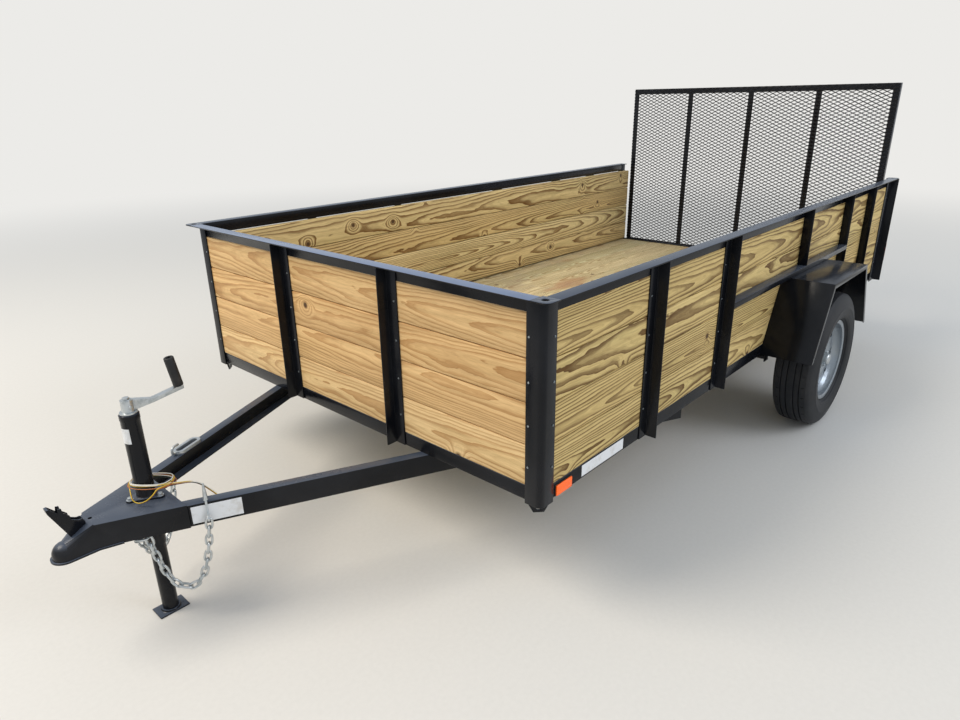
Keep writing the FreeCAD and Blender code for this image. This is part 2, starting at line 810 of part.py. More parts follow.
def fixed_shape(name, shape, x=0.0, y=0.0, z=0.0):
    """A piece drawn in code and then set in place."""
    made = doc.addObject("Part::Feature", name)
    made.Shape = shape
    bind_place(made, x, y, z)
    return made


hub_radius = size("hub_radius")
HAND_HOLES = 8
HAND_HOLE = 19.0
DISC_OUT = 20.0
hand_circle = (bead + hub_radius) / 2 + 22


def rim_points(side):
    """Rim section: flanges, beads, well and the dished disc; outside is +1."""
    out = side
    return (
        (rim_half * -out, size("rim_lip")),
        ((rim_half - rim_wall) * -out, size("rim_lip")),
        ((rim_half - rim_wall) * -out, bead),
        ((rim_half - 30) * -out, bead),
        (rim_half * -out * 0.3, bead - 18),
        (rim_half * out * 0.3, bead - 18),
        ((rim_half - 30) * out, bead),
        ((rim_half - rim_wall) * out, bead),
        ((rim_half - rim_wall) * out, size("rim_lip")),
        (rim_half * out, size("rim_lip")),
        (rim_half * out, bead - rim_wall),
        ((rim_half - 28) * out, bead - rim_wall),
        (rim_half * out * 0.3 + 3 * out, bead - 18 - rim_wall),
        (DISC_OUT * out + 8 * out, bead - 30),
        (DISC_OUT * out + 14 * out, hub_radius + 40),
        (DISC_OUT * out, hub_radius + 8),
        (DISC_OUT * out, size("cap_radius") + 1),
        ((DISC_OUT - 4.5) * out, size("cap_radius") + 1),
        ((DISC_OUT - 4.5) * out, hub_radius + 10),
        ((DISC_OUT + 9) * out, hub_radius + 41),
        ((DISC_OUT + 3) * out, bead - 32),
        (rim_half * out * 0.3 - 4 * out, bead - 18 - rim_wall),
        (rim_half * -out * 0.3, bead - 18 - rim_wall),
        ((rim_half - 28) * -out, bead - rim_wall),
        (rim_half * -out, bead - rim_wall),
    )


for side_name, side in SIDES:
    center = (axle_x, wheel_y * side, axle_z)
    node(f"tyre_{side_name}", turned_body(f"tyre_body_{side_name}", tyre_points(), *center))
    rim = turned_body(f"rim_body_{side_name}", rim_points(side), *center)
    holes = []
    for index in range(HAND_HOLES):
        turn = 360 / HAND_HOLES * index
        holes.append(cylinder(
            f"hand_hole_{side_name}_{index + 1}", "y", HAND_HOLE,
            (wheel_y * side - rim_half, wheel_y * side + rim_half),
            axle_x + hand_circle * math.cos(math.radians(turn)),
            axle_z + hand_circle * math.sin(math.radians(turn))))
    rim_cut = cut(f"rim_pierced_{side_name}", rim, group(f"hand_holes_{side_name}", holes))
    node(f"rim_{side_name}", rim_cut)
    hub_points = (
        (Dim.of(-60.0 * side), Dim.of(SPINDLE_RADIUS + 0.3)),
        (Dim.of(-60.0 * side), Dim.of(42.0)),
        (Dim.of(-4.0 * side), Dim.of(40.0)),
        (Dim.of(-4.0 * side), hub_radius),
        ((DISC_OUT - 4.8) * side, hub_radius),
        ((DISC_OUT - 4.8) * side, size("cap_radius")),
        (Dim.of((DISC_OUT + 44) * side), size("cap_radius") - 2),
        (Dim.of((DISC_OUT + 52) * side), size("cap_radius") - 10),
        (Dim.of((DISC_OUT + 52) * side), 0.0),
        (Dim.of(24.0 * side), 0.0),
        (Dim.of(24.0 * side), Dim.of(SPINDLE_RADIUS + 0.3)),
    )
    node(f"hub_{side_name}", turned_body(f"hub_body_{side_name}", hub_points, *center))


# Coupler: folded plate over the beam ends with a round nose and ball socket

coupler_low = beam_low
coupler_top = beam_top + steel
tip_x = front_x + size("coupler_tip")
coupler_rear_x = front_x + size("coupler_rear")
ball_x = front_x + size("ball_x")
nose_radius = size("nose_radius")
nose_x = tip_x - nose_radius - size("nose_lip")
neck_x = front_x + size("coupler_neck")
plate_out = steel / cosine(tongue_angle)
taper = tangent(tongue_angle)
rear_half = (apex_x - coupler_rear_x) * taper + plate_out
neck_half = (apex_x - neck_x) * taper + plate_out
inner_rear = (apex_x - coupler_rear_x) * taper
inner_neck = (apex_x - neck_x) * taper
shell_outer = bar("coupler_outer", "z", (coupler_low, coupler_top), (
    (coupler_rear_x, -rear_half), (neck_x, -neck_half), (neck_x, neck_half),
    (coupler_rear_x, rear_half)))
shell_inner = bar("coupler_inner", "z", (coupler_low - 1, beam_top), (
    (coupler_rear_x - 1, -inner_rear - taper), (neck_x - steel, -(inner_neck + taper * steel)),
    (neck_x - steel, inner_neck + taper * steel), (coupler_rear_x - 1, inner_rear + taper)))
jack_x = front_x + size("jack_x")
jack_radius = size("jack_radius")
jack_hole = cylinder("coupler_jack_hole", "z", jack_radius + 1, (beam_top - 1, coupler_top + 1),
                     jack_x, 0.0)
NOSE_DROP = 12.0
LIP_THICK = 5.0
PLATE_HOLE = 6.0
PLATE_HOLE_SET = 7.0
NECK_ROUND = 8.0
CROWN_STEPS = 4
nose_low = coupler_low - NOSE_DROP
nose_top = size("nose_top")
nose_lip = size("nose_lip")
skirt_x = front_x + size("coupler_skirt")
skirt_half = (apex_x - skirt_x) * taper + plate_out
neck_low = coupler_low - NOSE_DROP * (neck_x - skirt_x) / (nose_x - skirt_x)


def crown_wire(x, half, low, top, corner):
    """Section across the throat: upright sides and a rounded top."""
    points = [Vector(x, -half, low)]
    for side, first in ((-1, 180.0), (1, 90.0)):
        for step in range(CROWN_STEPS + 1):
            angle = math.radians(first - 90.0 / CROWN_STEPS * step)
            points.append(Vector(x, side * (half - corner) + corner * math.cos(angle),
                                 top - corner + corner * math.sin(angle)))
    points.append(Vector(x, half, low))
    return Part.makePolygon(points + points[:1])


def throat_shape():
    """Throat between neck and nose, from a flat top with rounded edges to a round crown."""
    neck = crown_wire(float(neck_x), float(neck_half), float(neck_low), float(coupler_top),
                      NECK_ROUND)
    crown = crown_wire(float(nose_x), float(nose_radius), float(nose_low), float(nose_top),
                       float(nose_radius) - 1)
    return Part.makeLoft([neck, crown], True, True)


throat = fixed_shape("coupler_throat", throat_shape())
skirt = shared("coupler_skirt", [
    bar("coupler_skirt_plan", "z", (neck_low, coupler_low), (
        (skirt_x, -skirt_half), (neck_x, -neck_half), (neck_x, neck_half),
        (skirt_x, skirt_half))),
    bar("coupler_skirt_side", "y", (-skirt_half, skirt_half), (
        (skirt_x, coupler_low), (neck_x, neck_low), (neck_x, coupler_low)))])
lip = shared("coupler_lip", [
    bar("coupler_lip_plan", "z", (nose_low, coupler_low + LIP_THICK), (
        (skirt_x, -skirt_half - nose_lip), (neck_x, -neck_half - nose_lip),
        (nose_x, -nose_radius - nose_lip), (nose_x, nose_radius + nose_lip),
        (neck_x, neck_half + nose_lip), (skirt_x, skirt_half + nose_lip))),
    bar("coupler_lip_side", "y", (-skirt_half - nose_lip, skirt_half + nose_lip), (
        (skirt_x, coupler_low), (nose_x, nose_low), (nose_x, nose_low + LIP_THICK),
        (skirt_x, coupler_low + LIP_THICK)))])
nose = cylinder("coupler_nose", "z", nose_radius, (nose_low, nose_top - nose_radius), nose_x, 0.0)
crown = doc.addObject("Part::Sphere", "coupler_crown")
bind(crown, "Radius", nose_radius)
bind_place(crown, nose_x, 0.0, nose_top - nose_radius)
nose_rim = cylinder("coupler_rim", "z", nose_radius + nose_lip, (nose_low, nose_low + LIP_THICK),
                    nose_x, 0.0)
below_nose = box("below_nose", (nose_x - nose_radius * 2, nose_x + nose_radius * 2),
                 (-nose_radius * 2, nose_radius * 2), (nose_low - nose_radius * 2, nose_low))
coupler_solid = cut("coupler_solid",
                    fuse("coupler_pieces", [shell_outer, skirt, lip, throat, nose, crown,
                                            nose_rim]), below_nose)
plate_hole = cylinder("coupler_plate_hole", "z", PLATE_HOLE, (beam_top - 1, coupler_top + 1),
                      neck_x - PLATE_HOLE_SET, 0.0)
socket = cylinder("ball_socket", "z", size("ball_radius"),
                  (nose_low - 1, nose_low + size("ball_depth")), ball_x, 0.0)
dome = doc.addObject("Part::Sphere", "ball_dome")
bind(dome, "Radius", size("ball_radius"))
bind_place(dome, ball_x, 0.0, nose_low + size("ball_depth"))
hollow = fuse("coupler_hollow", [shell_inner, jack_hole, plate_hole])
node("coupler", cut("coupler_cut", cut("coupler_shell", coupler_solid, hollow),
                    fuse("ball_space", [socket, dome])))


# Coupler latch: a lever with two cheeks and a front web, standing open over the neck

LATCH_HALF = 12.0
LATCH_WALL = 3.0
LATCH_WEB = 5.0
LATCH_FOOT_FRONT = 20.0
LATCH_FOOT_REAR = 66.0
LATCH_HEEL = 8.0
LATCH_TEETH = (
    (22.0, 108.0),
    (24.0, 122.0),
    (16.0, 123.0),
    (-3.0, 101.0),
    (-5.0, 114.0),
    (-14.0, 112.0),
    (-16.0, 96.0),
    (-31.0, 80.0),
    (-32.0, 66.0),
    (-50.0, 56.0),
    (-60.0, 56.0),
)
neck_rise = (coupler_top - nose_top) / (nose_x - neck_x)
latch_points = [(nose_x - LATCH_FOOT_FRONT, nose_top + neck_rise * LATCH_FOOT_FRONT)]
latch_points += [(nose_x + ahead, nose_top + up) for ahead, up in LATCH_TEETH]
latch_points += [
    (nose_x - LATCH_FOOT_REAR, nose_top + neck_rise * LATCH_FOOT_REAR + LATCH_HEEL),
    (nose_x - LATCH_FOOT_REAR, nose_top + neck_rise * LATCH_FOOT_REAR),
]
web_front, web_top = LATCH_TEETH[0]
latch_gap = bar("latch_gap", "y", (-LATCH_HALF + LATCH_WALL, LATCH_HALF - LATCH_WALL), (
    (nose_x - LATCH_FOOT_REAR - 1, nose_top - 1),
    (nose_x - LATCH_FOOT_FRONT - LATCH_WEB, nose_top - 1),
    (nose_x - LATCH_FOOT_FRONT - LATCH_WEB, nose_top + neck_rise * LATCH_FOOT_FRONT),
    (nose_x + web_front - LATCH_WEB, nose_top + web_top),
    (nose_x + web_front - LATCH_WEB, nose_top + web_top + LATCH_FOOT_FRONT),
    (nose_x - LATCH_FOOT_REAR - 1, nose_top + web_top + LATCH_FOOT_FRONT)))
node("coupler_latch", cut("latch_lever", bar("latch_plate", "y", (-LATCH_HALF, LATCH_HALF),
                                             latch_points), latch_gap))


# Jack: tube, top, crank with its grip, and the leg that slides in the tube

jack_low = size("jack_low")
jack_top = size("jack_top")
jack_wall = size("jack_wall")
tube = cylinder("jack_tube_outer", "z", jack_radius, (jack_low, jack_top), jack_x, 0.0)
bore = cylinder("jack_tube_bore", "z", jack_radius - jack_wall, (jack_low - 1, jack_top - 6),
                jack_x, 0.0)
flange_top = coupler_top + size("flange_thick")
ear_reach = size("ear_reach")
ear_radius = size("ear_radius")
EAR_ANGLES = (0.0, 120.0, 240.0)
flange_points = []
for angle in EAR_ANGLES:
    ahead, beside = math.cos(math.radians(angle)), math.sin(math.radians(angle))
    for way in (-1, 1):
        flange_points.append((jack_x + ear_reach * ahead - ear_radius * way * beside,
                              ear_reach * beside + ear_radius * way * ahead))
flange_pieces = [bar("jack_flange", "z", (coupler_top, flange_top), flange_points)]
for index, angle in enumerate(EAR_ANGLES, start=1):
    flange_pieces.append(cylinder(
        f"jack_ear_{index}", "z", ear_radius, (coupler_top, flange_top),
        jack_x + ear_reach * math.cos(math.radians(angle)),
        ear_reach * math.sin(math.radians(angle))))
node("jack_tube", cut("jack_tube_hollow", fuse("jack_tube_solid", [tube] + flange_pieces), bore))

COLLAR_WALL = 6.0
COLLAR_HEIGHT = 6.0
leg_radius = jack_radius - jack_wall - size("leg_clear")
foot_half = size("foot_length") / 2
foot_side = size("foot_width") / 2
foot_plate = size("foot_plate")
leg = cylinder("jack_leg_tube", "z", leg_radius, (foot_plate, size("leg_top")), jack_x, 0.0)
foot = box("jack_foot", (jack_x - foot_half, jack_x + foot_half), (-foot_side, foot_side),
           (0.0, foot_plate))
collar = cylinder("jack_foot_collar", "z", leg_radius + COLLAR_WALL,
                  (foot_plate, foot_plate + COLLAR_HEIGHT), jack_x, 0.0)
node("jack_leg", fuse("jack_leg_solid", [leg, foot, collar]))

BOSS_RADIUS = 18.0
BOSS_HEIGHT = 42.0
CAP_RADIUS = 26.0
CAP_THICK = 4.0
ARM_BEND = 75.0
ARM_DEEP = 34.0
ARM_END_DEEP = 13.0
ARM_TOP = 40.0
crank_reach = size("crank_reach")
crank_half = size("crank_width") / 2
crank_wall = size("crank_wall")
crank_lean = size("crank_lean")
grip_radius = size("grip_radius")
grip_low = jack_top + 38
arm_end = crank_reach + grip_radius - 4
bend_top = grip_low - (crank_reach - ARM_BEND) * tangent(crank_lean)
end_top = grip_low + (arm_end - crank_reach) * tangent(crank_lean)


def arm_points(wall, open_below):
    """Side of the crank's channel, a wall inside its outer faces and open below."""
    return (
        (jack_x, jack_top + ARM_TOP - ARM_DEEP - open_below),
        (jack_x - BOSS_RADIUS, jack_top + ARM_TOP - ARM_DEEP - open_below),
        (jack_x - ARM_BEND, bend_top - ARM_END_DEEP - open_below),
        (jack_x - arm_end + wall, end_top - ARM_END_DEEP - open_below),
        (jack_x - arm_end + wall, end_top - wall),
        (jack_x - ARM_BEND, bend_top - wall),
        (jack_x - BOSS_RADIUS, jack_top + ARM_TOP - wall),
        (jack_x, jack_top + ARM_TOP - wall),
    )


boss = cylinder("crank_boss", "z", BOSS_RADIUS, (jack_top, jack_top + BOSS_HEIGHT), jack_x, 0.0)
boss_cap = cylinder("crank_cap", "z", CAP_RADIUS, (jack_top, jack_top + CAP_THICK), jack_x, 0.0)
arm = bar("crank_arm", "y", (-crank_half, crank_half), arm_points(0.0, 0.0))
arm_hollow = bar("crank_arm_hollow", "y", (-crank_half + crank_wall, crank_half - crank_wall),
                 arm_points(crank_wall, 1.0))
node("jack_crank", fuse("jack_crank_solid", [boss, boss_cap,
                                             cut("crank_channel", arm, arm_hollow)]))
grip = doc.addObject("Part::Cylinder", "crank_grip_body")
bind(grip, "Radius", grip_radius)
bind(grip, "Height", size("grip_length"))
grip.Placement = Placement(Vector(), Rotation(Vector(0, 1, 0), crank_lean.number))
bind(grip, "Placement.Rotation.Angle", crank_lean)
bind_place(grip, jack_x - crank_reach, 0.0, grip_low)
node("crank_grip", grip)


# Ramp gate: angle frame, three bars between, and the mesh on its front face

gate_front = rear_x - size("gate_gap")
mesh_back = gate_front - size("mesh_thick")
gate_back = mesh_back - size("gate_leg")
gate_half = wall_side - size("gate_side")
gate_leg = size("gate_leg")
gate_wall = size("gate_wall")
gate_low = size("gate_low")
gate_top = size("gate_top")
GATE_BARS = 5
gate_pieces = [
    bar("gate_top_bar", "y", (-gate_half, gate_half),
        angle_points(mesh_back, gate_top, -gate_leg, -gate_leg, gate_wall)),
    bar("gate_low_bar", "y", (-gate_half, gate_half),
        angle_points(mesh_back, gate_low, -gate_leg, gate_leg, gate_wall)),
]
for index in range(GATE_BARS):
    across = (gate_half * 2 - gate_leg) / (GATE_BARS - 1) * index - gate_half
    points = angle_points(mesh_back, across, -gate_leg, gate_leg, gate_wall)
    if index == GATE_BARS - 1:
        points = angle_points(mesh_back, gate_half, -gate_leg, -gate_leg, gate_wall)
    gate_pieces.append(bar(f"gate_bar_{index + 1}", "z", (gate_low, gate_top), points))

hinge_z = size("hinge_height")
hinge_x = rear_x - size("hinge_back")
pin_radius = size("pin_radius")
hinge_tube = size("hinge_tube")
HINGES = 3
TUBE_HALF = 25.0
CHEEK = 8.0
RUN_GAP = 5.0
LUG_RADIUS = 10.0
hinge_step = gate_half * 2 / HINGES
gate_tubes = []
frame_lugs = []
for index in range(HINGES):
    middle = hinge_step * (index + 0.5) - gate_half
    across = (middle - TUBE_HALF, middle + TUBE_HALF)
    tube_solid = cylinder(f"hinge_tube_{index + 1}", "y", hinge_tube, across, hinge_x, hinge_z)
    strap = box(f"hinge_strap_{index + 1}", (hinge_x - 5, hinge_x + 5), across,
                (hinge_z, gate_low + gate_wall))
    bore = cylinder(f"hinge_bore_{index + 1}", "y", pin_radius + size("pin_clear"),
                    (middle - TUBE_HALF - 1, middle + TUBE_HALF + 1), hinge_x, hinge_z)
    gate_tubes.append(cut(f"hinge_knuckle_{index + 1}",
                          fuse(f"hinge_knuckle_solid_{index + 1}", [tube_solid, strap]), bore))
    lug_pieces = [cylinder(f"hinge_pin_{index + 1}", "y", pin_radius,
                           (middle - TUBE_HALF - RUN_GAP - CHEEK,
                            middle + TUBE_HALF + RUN_GAP + CHEEK), hinge_x, hinge_z)]
    for way in (-1, 1):
        inner_face = middle + (TUBE_HALF + RUN_GAP) * way
        outer_face = inner_face + CHEEK * way
        low, high = (inner_face, outer_face) if way > 0 else (outer_face, inner_face)
        lug_pieces.append(box(f"hinge_lug_{index + 1}_{way}", (hinge_x, rear_x),
                              (low, high), (frame_bottom, hinge_z + 9)))
        lug_pieces.append(cylinder(f"hinge_lug_end_{index + 1}_{way}", "y", LUG_RADIUS,
                                   (low, high), hinge_x, hinge_z))
    frame_lugs.append(fuse(f"hinge_lugs_{index + 1}", lug_pieces))
node("gate_frame", fuse("gate_frame_solid", gate_pieces + gate_tubes))
node("gate_hinge_lugs", group("gate_hinge_lug_set", frame_lugs))


def mesh_shape():
    """Expanded metal: a sheet pierced by rows of diamonds, long way across."""
    half = float(gate_half)
    low, high = float(gate_low), float(gate_top)
    pitch_long = float(size("mesh_long"))
    pitch_short = float(size("mesh_short"))
    strand = float(size("mesh_strand"))
    border = 14.0
    length = pitch_long / 2 - strand * 1.1
    height = pitch_short / 2 - strand * 0.6
    wires = []
    rows = int((high - low - 2 * border) / (pitch_short / 2)) + 1
    for row in range(rows):
        z = low + border + pitch_short / 2 * row
        shift = pitch_long / 2 if row % 2 else 0.0
        columns = int(2 * half / pitch_long) + 2
        for column in range(columns):
            y = -half + border + shift + pitch_long * column
            if abs(y) + length > half - border or not low + border < z - height:
                continue
            if z + height > high - border:
                continue
            corners = [Vector(0, y - length, z), Vector(0, y, z - height),
                       Vector(0, y + length, z), Vector(0, y, z + height)]
            wires.append(Part.makePolygon(corners + corners[:1]))
    outer = Part.makePolygon([Vector(0, -half, low), Vector(0, half, low), Vector(0, half, high),
                              Vector(0, -half, high), Vector(0, -half, low)])
    face = Part.makeFace([outer] + wires, "Part::FaceMakerBullseye")
    return face.extrude(Vector(float(size("mesh_thick")), 0, 0))


node("gate_mesh", fixed_shape("gate_mesh_sheet", mesh_shape(), mesh_back))


# Safety chains: bolted under the coupler, hanging free, hooked over the tongue beams

LEFT_LINKS = 17
RIGHT_LINKS = 19

# Side, way out, hook ahead of the bed, links, height of the hook's tip, length of its bow
CHAINS = (
    ("left", 1, 620.0, LEFT_LINKS, 58.0, 0.0),
    ("right", -1, 545.0, RIGHT_LINKS, 0.0, 122.0),
)
CHAIN_SLACK = 0.3
WIRE_SIDES = 6
END_CORNERS = 4
CHAIN_BOLT_X = 800.0
CHAIN_BOLT = 5.2
BOLT_DROP = 20.0
WASHER = 13.0
WASHER_THICK = 3.0
HOOK_THICK = 7.0
HOOK_REACH = 26.0
HOOK_DROP = 48.0
HOOK_SEAT = 0.3
HOOK_TIP = 8.0
HOOK_TIP_SET = 6.0
BOW_WIDTH = 44.0
BOW_WIRE = 11.0
EYE_OUT = 11.0
EYE_IN = 6.0
EYE_SET = 17.0
chain_wire = float(size("chain_wire"))
chain_pitch = float(size("chain_pitch"))
link_inner = chain_wire * 0.8
wire_reach = chain_wire / 2 / math.cos(math.pi / WIRE_SIDES)
link_play = link_inner - wire_reach - CHAIN_SLACK

# Distance between the pivots of a link that stands on edge and of one that lies flat
UPRIGHT_SPAN = chain_pitch - 2 * link_inner + 2 * link_play
FLAT_SPAN = chain_pitch + chain_wire


def link_shape():
    """One link about its middle, its long way along X, flat in XY: a six-sided wire bent round."""
    turn = math.pi / END_CORNERS
    bend = (link_inner + chain_wire / 2) / math.cos(turn / 2)
    straight = chain_pitch / 2 - link_inner
    corners = []
    for way in (1, -1):
        for index in range(END_CORNERS):
            angle = turn * (index + 0.5) - math.pi / 2
            corners.append(Vector(straight + bend * math.cos(angle), bend * math.sin(angle), 0)
                           * way)
    start = (corners[0] + corners[-1]) * 0.5
    path = Part.Wire(Part.makePolygon([start] + corners + [start]).Edges)
    section = []
    for index in range(WIRE_SIDES + 1):
        angle = math.pi / WIRE_SIDES * (2 * index + 1)
        section.append(start + Vector(0, math.cos(angle), math.sin(angle)) * wire_reach)
    profile = Part.Wire(Part.makePolygon(section).Edges)
    return path.makePipeShell([profile], True, False, 1)


def placed_link(place, heading, tilt, roll):
    """A link turned to its heading, tilted up and rolled about its long way."""
    turn = Rotation(Vector(0, 0, 1), heading) * Rotation(Vector(0, 1, 0), -tilt)
    link = link_shape()
    link.Placement = Placement(place, turn * Rotation(Vector(1, 0, 0), roll))
    return link


def hanging_curve(span, rise, length):
    """Catenary through (0, 0) and (span, rise): its scale and the place of its lowest point."""
    goal = math.sqrt(length * length - rise * rise)
    low, high = span / 40, span * 40
    for _ in range(80):
        scale = (low + high) / 2
        if 2 * scale * math.sinh(span / (2 * scale)) > goal:
            low = scale
        else:
            high = scale
    middle = span / 2 - scale * math.asinh(rise / (2 * scale * math.sinh(span / (2 * scale))))
    return scale, middle


def pivots_along(scale, begin, count):
    """Points where the links hang in one another, as lengths along the curve."""
    along = begin
    pivots = [along]
    for index in range(count):
        chord = UPRIGHT_SPAN if index % 2 == 0 else FLAT_SPAN
        reach = chord
        for _ in range(20):
            ahead = along + reach
            across = scale * (math.asinh(ahead / scale) - math.asinh(along / scale))
            up = math.hypot(scale, ahead) - math.hypot(scale, along)
            reach += chord - math.hypot(across, up)
        along += reach
        pivots.append(along)
    return pivots


def hanging_links(start, end, count):
    """Links that hang one in the other between two points, upright and flat in turn."""
    level = Vector(end.x - start.x, end.y - start.y, 0)
    span = level.Length
    level.normalize()
    heading = math.degrees(math.atan2(level.y, level.x))
    length = (UPRIGHT_SPAN + FLAT_SPAN) / 2 * count
    for _ in range(30):
        scale, middle = hanging_curve(span, end.z - start.z, length)
        begin = scale * math.sinh(-middle / scale)
        pivots = pivots_along(scale, begin, count)
        length = pivots[-1] - begin
    drop = scale * math.cosh(middle / scale)
    points = []
    for along in pivots:
        offset = scale * math.asinh(along / scale)
        point = start + level * (offset + middle)
        point.z = start.z + scale * math.cosh(offset / scale) - drop
        points.append(point)
    links = []
    for index in range(count):
        run = points[index + 1] - points[index]
        tilt = math.degrees(math.atan2(run.z, math.hypot(run.x, run.y)))
        roll = 0 if index % 2 else 90
        links.append(placed_link((points[index] + points[index + 1]) * 0.5, heading, tilt, roll))
    return links


def chain_hook(side, web_place, tip_height, bow_length):
    """A hook bent over a beam's top flange, with an eye below for the last link.

    It carries a tip that stands up from the flange, or a long bow that lies on it.
    """
    top = float(beam_top)
    thick = HOOK_THICK
    corners = [(-HOOK_REACH, top), (-HOOK_REACH, top + thick), (thick, top + thick),
               (thick + HOOK_SEAT, top - HOOK_DROP + 2 * EYE_OUT),
               (EYE_SET, top - HOOK_DROP + EYE_IN + 1), (EYE_SET - EYE_IN - 2, top - HOOK_DROP),
               (HOOK_SEAT, top - HOOK_DROP + 2 * EYE_OUT - thick), (HOOK_SEAT, top)]
    outline_points = [Vector(-thick / 2, across * side, up) for across, up in corners]
    arm = Part.Face(Part.makePolygon(outline_points + outline_points[:1]))
    arm = arm.extrude(Vector(thick, 0, 0))
    eye_place = Vector(0, EYE_SET * side, top - HOOK_DROP)
    along = Vector(1, 0, 0)
    eye = Part.makeCylinder(EYE_OUT, thick, eye_place - along * (thick / 2), along)
    hole = Part.makeCylinder(EYE_IN, thick * 2, eye_place - along * thick, along)
    hook = arm.fuse(eye).cut(hole)
    if tip_height:
        hook = hook.fuse(Part.makeCone(HOOK_TIP, HOOK_TIP / 3, tip_height,
                                       Vector(0, -HOOK_TIP_SET * side, top + thick - 1)))
    if bow_length:
        bow = Part.makeBox(bow_length - BOW_WIDTH, BOW_WIDTH, BOW_WIRE,
                           Vector(-bow_length + BOW_WIDTH / 2, -BOW_WIDTH / 2, 0))
        space = Part.makeBox(bow_length - BOW_WIDTH, BOW_WIDTH - 2 * BOW_WIRE, BOW_WIRE * 3,
                             Vector(-bow_length + BOW_WIDTH / 2, BOW_WIRE - BOW_WIDTH / 2,
                                    -BOW_WIRE))
        for end_place in (-bow_length + BOW_WIDTH / 2, -BOW_WIDTH / 2):
            bow = bow.fuse(Part.makeCylinder(BOW_WIDTH / 2, BOW_WIRE, Vector(end_place, 0, 0)))
            space = space.fuse(Part.makeCylinder(BOW_WIDTH / 2 - BOW_WIRE, BOW_WIRE * 3,
                                                 Vector(end_place, 0, -BOW_WIRE)))
        bow = bow.cut(space)
        bow.translate(Vector(thick / 2, -HOOK_REACH / 2 * side, top + HOOK_SEAT))
        hook = hook.fuse(bow)
    turn = Rotation(Vector(0, 0, 1), -float(tongue_angle) * side)
    hook.Placement = Placement(web_place, turn)
    return hook, web_place + turn.multVec(eye_place)


for side_name, side, end_x, count, tip_height, bow_length in CHAINS:
    bolt_y = float((apex_x - front_x - CHAIN_BOLT_X) * taper) * 0.72 * side
    bolt_place = Vector(float(front_x) + CHAIN_BOLT_X, bolt_y, 0)
    low = float(beam_low)
    bolt = Part.makeCylinder(CHAIN_BOLT, BOLT_DROP, Vector(0, 0, low - BOLT_DROP))
    washer = Part.makeCylinder(WASHER, WASHER_THICK,
                               Vector(0, 0, low - BOLT_DROP - WASHER_THICK))
    bolt = bolt.fuse(washer)
    bolt.translate(bolt_place)
    web_place = Vector(float(front_x) + end_x, float((apex_x - front_x - end_x) * taper) * side, 0)
    hook, eye_place = chain_hook(side, web_place, tip_height, bow_length)
    end = eye_place - Vector(0, 0, (EYE_IN + EYE_OUT) / 2)
    level = Vector(end.x - bolt_place.x, end.y - bolt_place.y, 0).normalize()
    heading = math.degrees(math.atan2(level.y, level.x))
    first_z = low - BOLT_DROP + wire_reach + CHAIN_SLACK
    first = bolt_place + level * (chain_pitch / 2 - link_inner + CHAIN_SLACK)
    first.z = first_z
    links = hanging_links(first + level * (FLAT_SPAN / 2), end, count)
    links.append(placed_link(first, heading, 0, 0))
    chain = Part.makeCompound(links + [bolt, hook])
    node(f"safety_chain_{side_name}", fixed_shape(f"chain_{side_name}", chain))


# Wiring: a bundle of thin wires out of the left beam, wound loosely round the jack tube

COIL_FLATS = 16
COIL_STRETCH = 52.0
COIL_HEADING = 132.6
COIL_CLEAR = 0.4
GROMMET_RADIUS = 9.0
GROMMET_THICK = 4.0
GROMMET_BELOW = 38.0
GROMMET_BEHIND = 160.0
BEND_SHARE = 0.45
wiring_low = float(size("wiring_low"))
wiring_high = wiring_low + float(size("wiring_height"))
wiring_middle = (wiring_low + wiring_high) / 2
coil_way = Vector(math.cos(math.radians(COIL_HEADING)), math.sin(math.radians(COIL_HEADING)), 0)
coil_side = Vector(-coil_way.y, coil_way.x, 0)
coil_start = Vector(float(jack_x), 0, 0)


def coil_outline(inner, low):
    """Oval of flats round the jack tube, stretched to the rear left, at a distance from it."""
    points = []
    for middle, first in ((COIL_STRETCH, -90.0), (0.0, 90.0)):
        for step in range(COIL_FLATS // 2):
            angle = math.radians(first + 360.0 / COIL_FLATS * (step + 0.5))
            reach = inner / math.cos(math.pi / COIL_FLATS)
            spot = (coil_start + coil_way * (middle + reach * math.cos(angle))
                    + coil_side * (reach * math.sin(angle)))
            points.append(Vector(spot.x, spot.y, low))
    return Part.makePolygon(points + points[:1])


def coil_shape():
    """The coiled wires as one closed ring."""
    inner = float(jack_radius) + COIL_CLEAR
    outer = inner + float(size("wiring_thick"))
    height = Vector(0, 0, wiring_high - wiring_low)
    ring = Part.Face(coil_outline(outer, wiring_low)).extrude(height)
    return ring.cut(Part.Face(coil_outline(inner, wiring_low)).extrude(height))


def cord_shape(label, points, diameter):
    """A round cord along straight runs that are joined by tangent arcs."""
    edges = []
    radii = []
    last = points[0]
    for before, corner, after in zip(points, points[1:], points[2:]):
        inward = corner - before
        outward = after - corner
        set_back = BEND_SHARE * min(inward.Length, outward.Length)
        half_turn = inward.getAngle(outward) / 2
        radius = set_back / math.tan(half_turn)
        inward.normalize()
        outward.normalize()
        begin, finish = corner - inward * set_back, corner + outward * set_back
        toward = (outward - inward).normalize()
        middle = corner + toward * (radius / math.cos(half_turn) - radius)
        edges.append(Part.LineSegment(last, begin).toShape())
        edges.append(Part.Arc(begin, middle, finish).toShape())
        radii.append(radius)
        last = finish
    edges.append(Part.LineSegment(last, points[-1]).toShape())
    path = Part.Wire(edges)
    profile = Part.Wire(Part.makeCircle(diameter / 2, points[0], points[1] - points[0]))
    cord = path.makePipeShell([profile], True, False)
    section = math.pi * diameter * diameter / 4
    print(f"{label}: length {path.Length:.1f}, volume {cord.Volume:.0f} of "
          f"{section * path.Length:.0f}, least radius {min(radii):.1f}")
    return cord


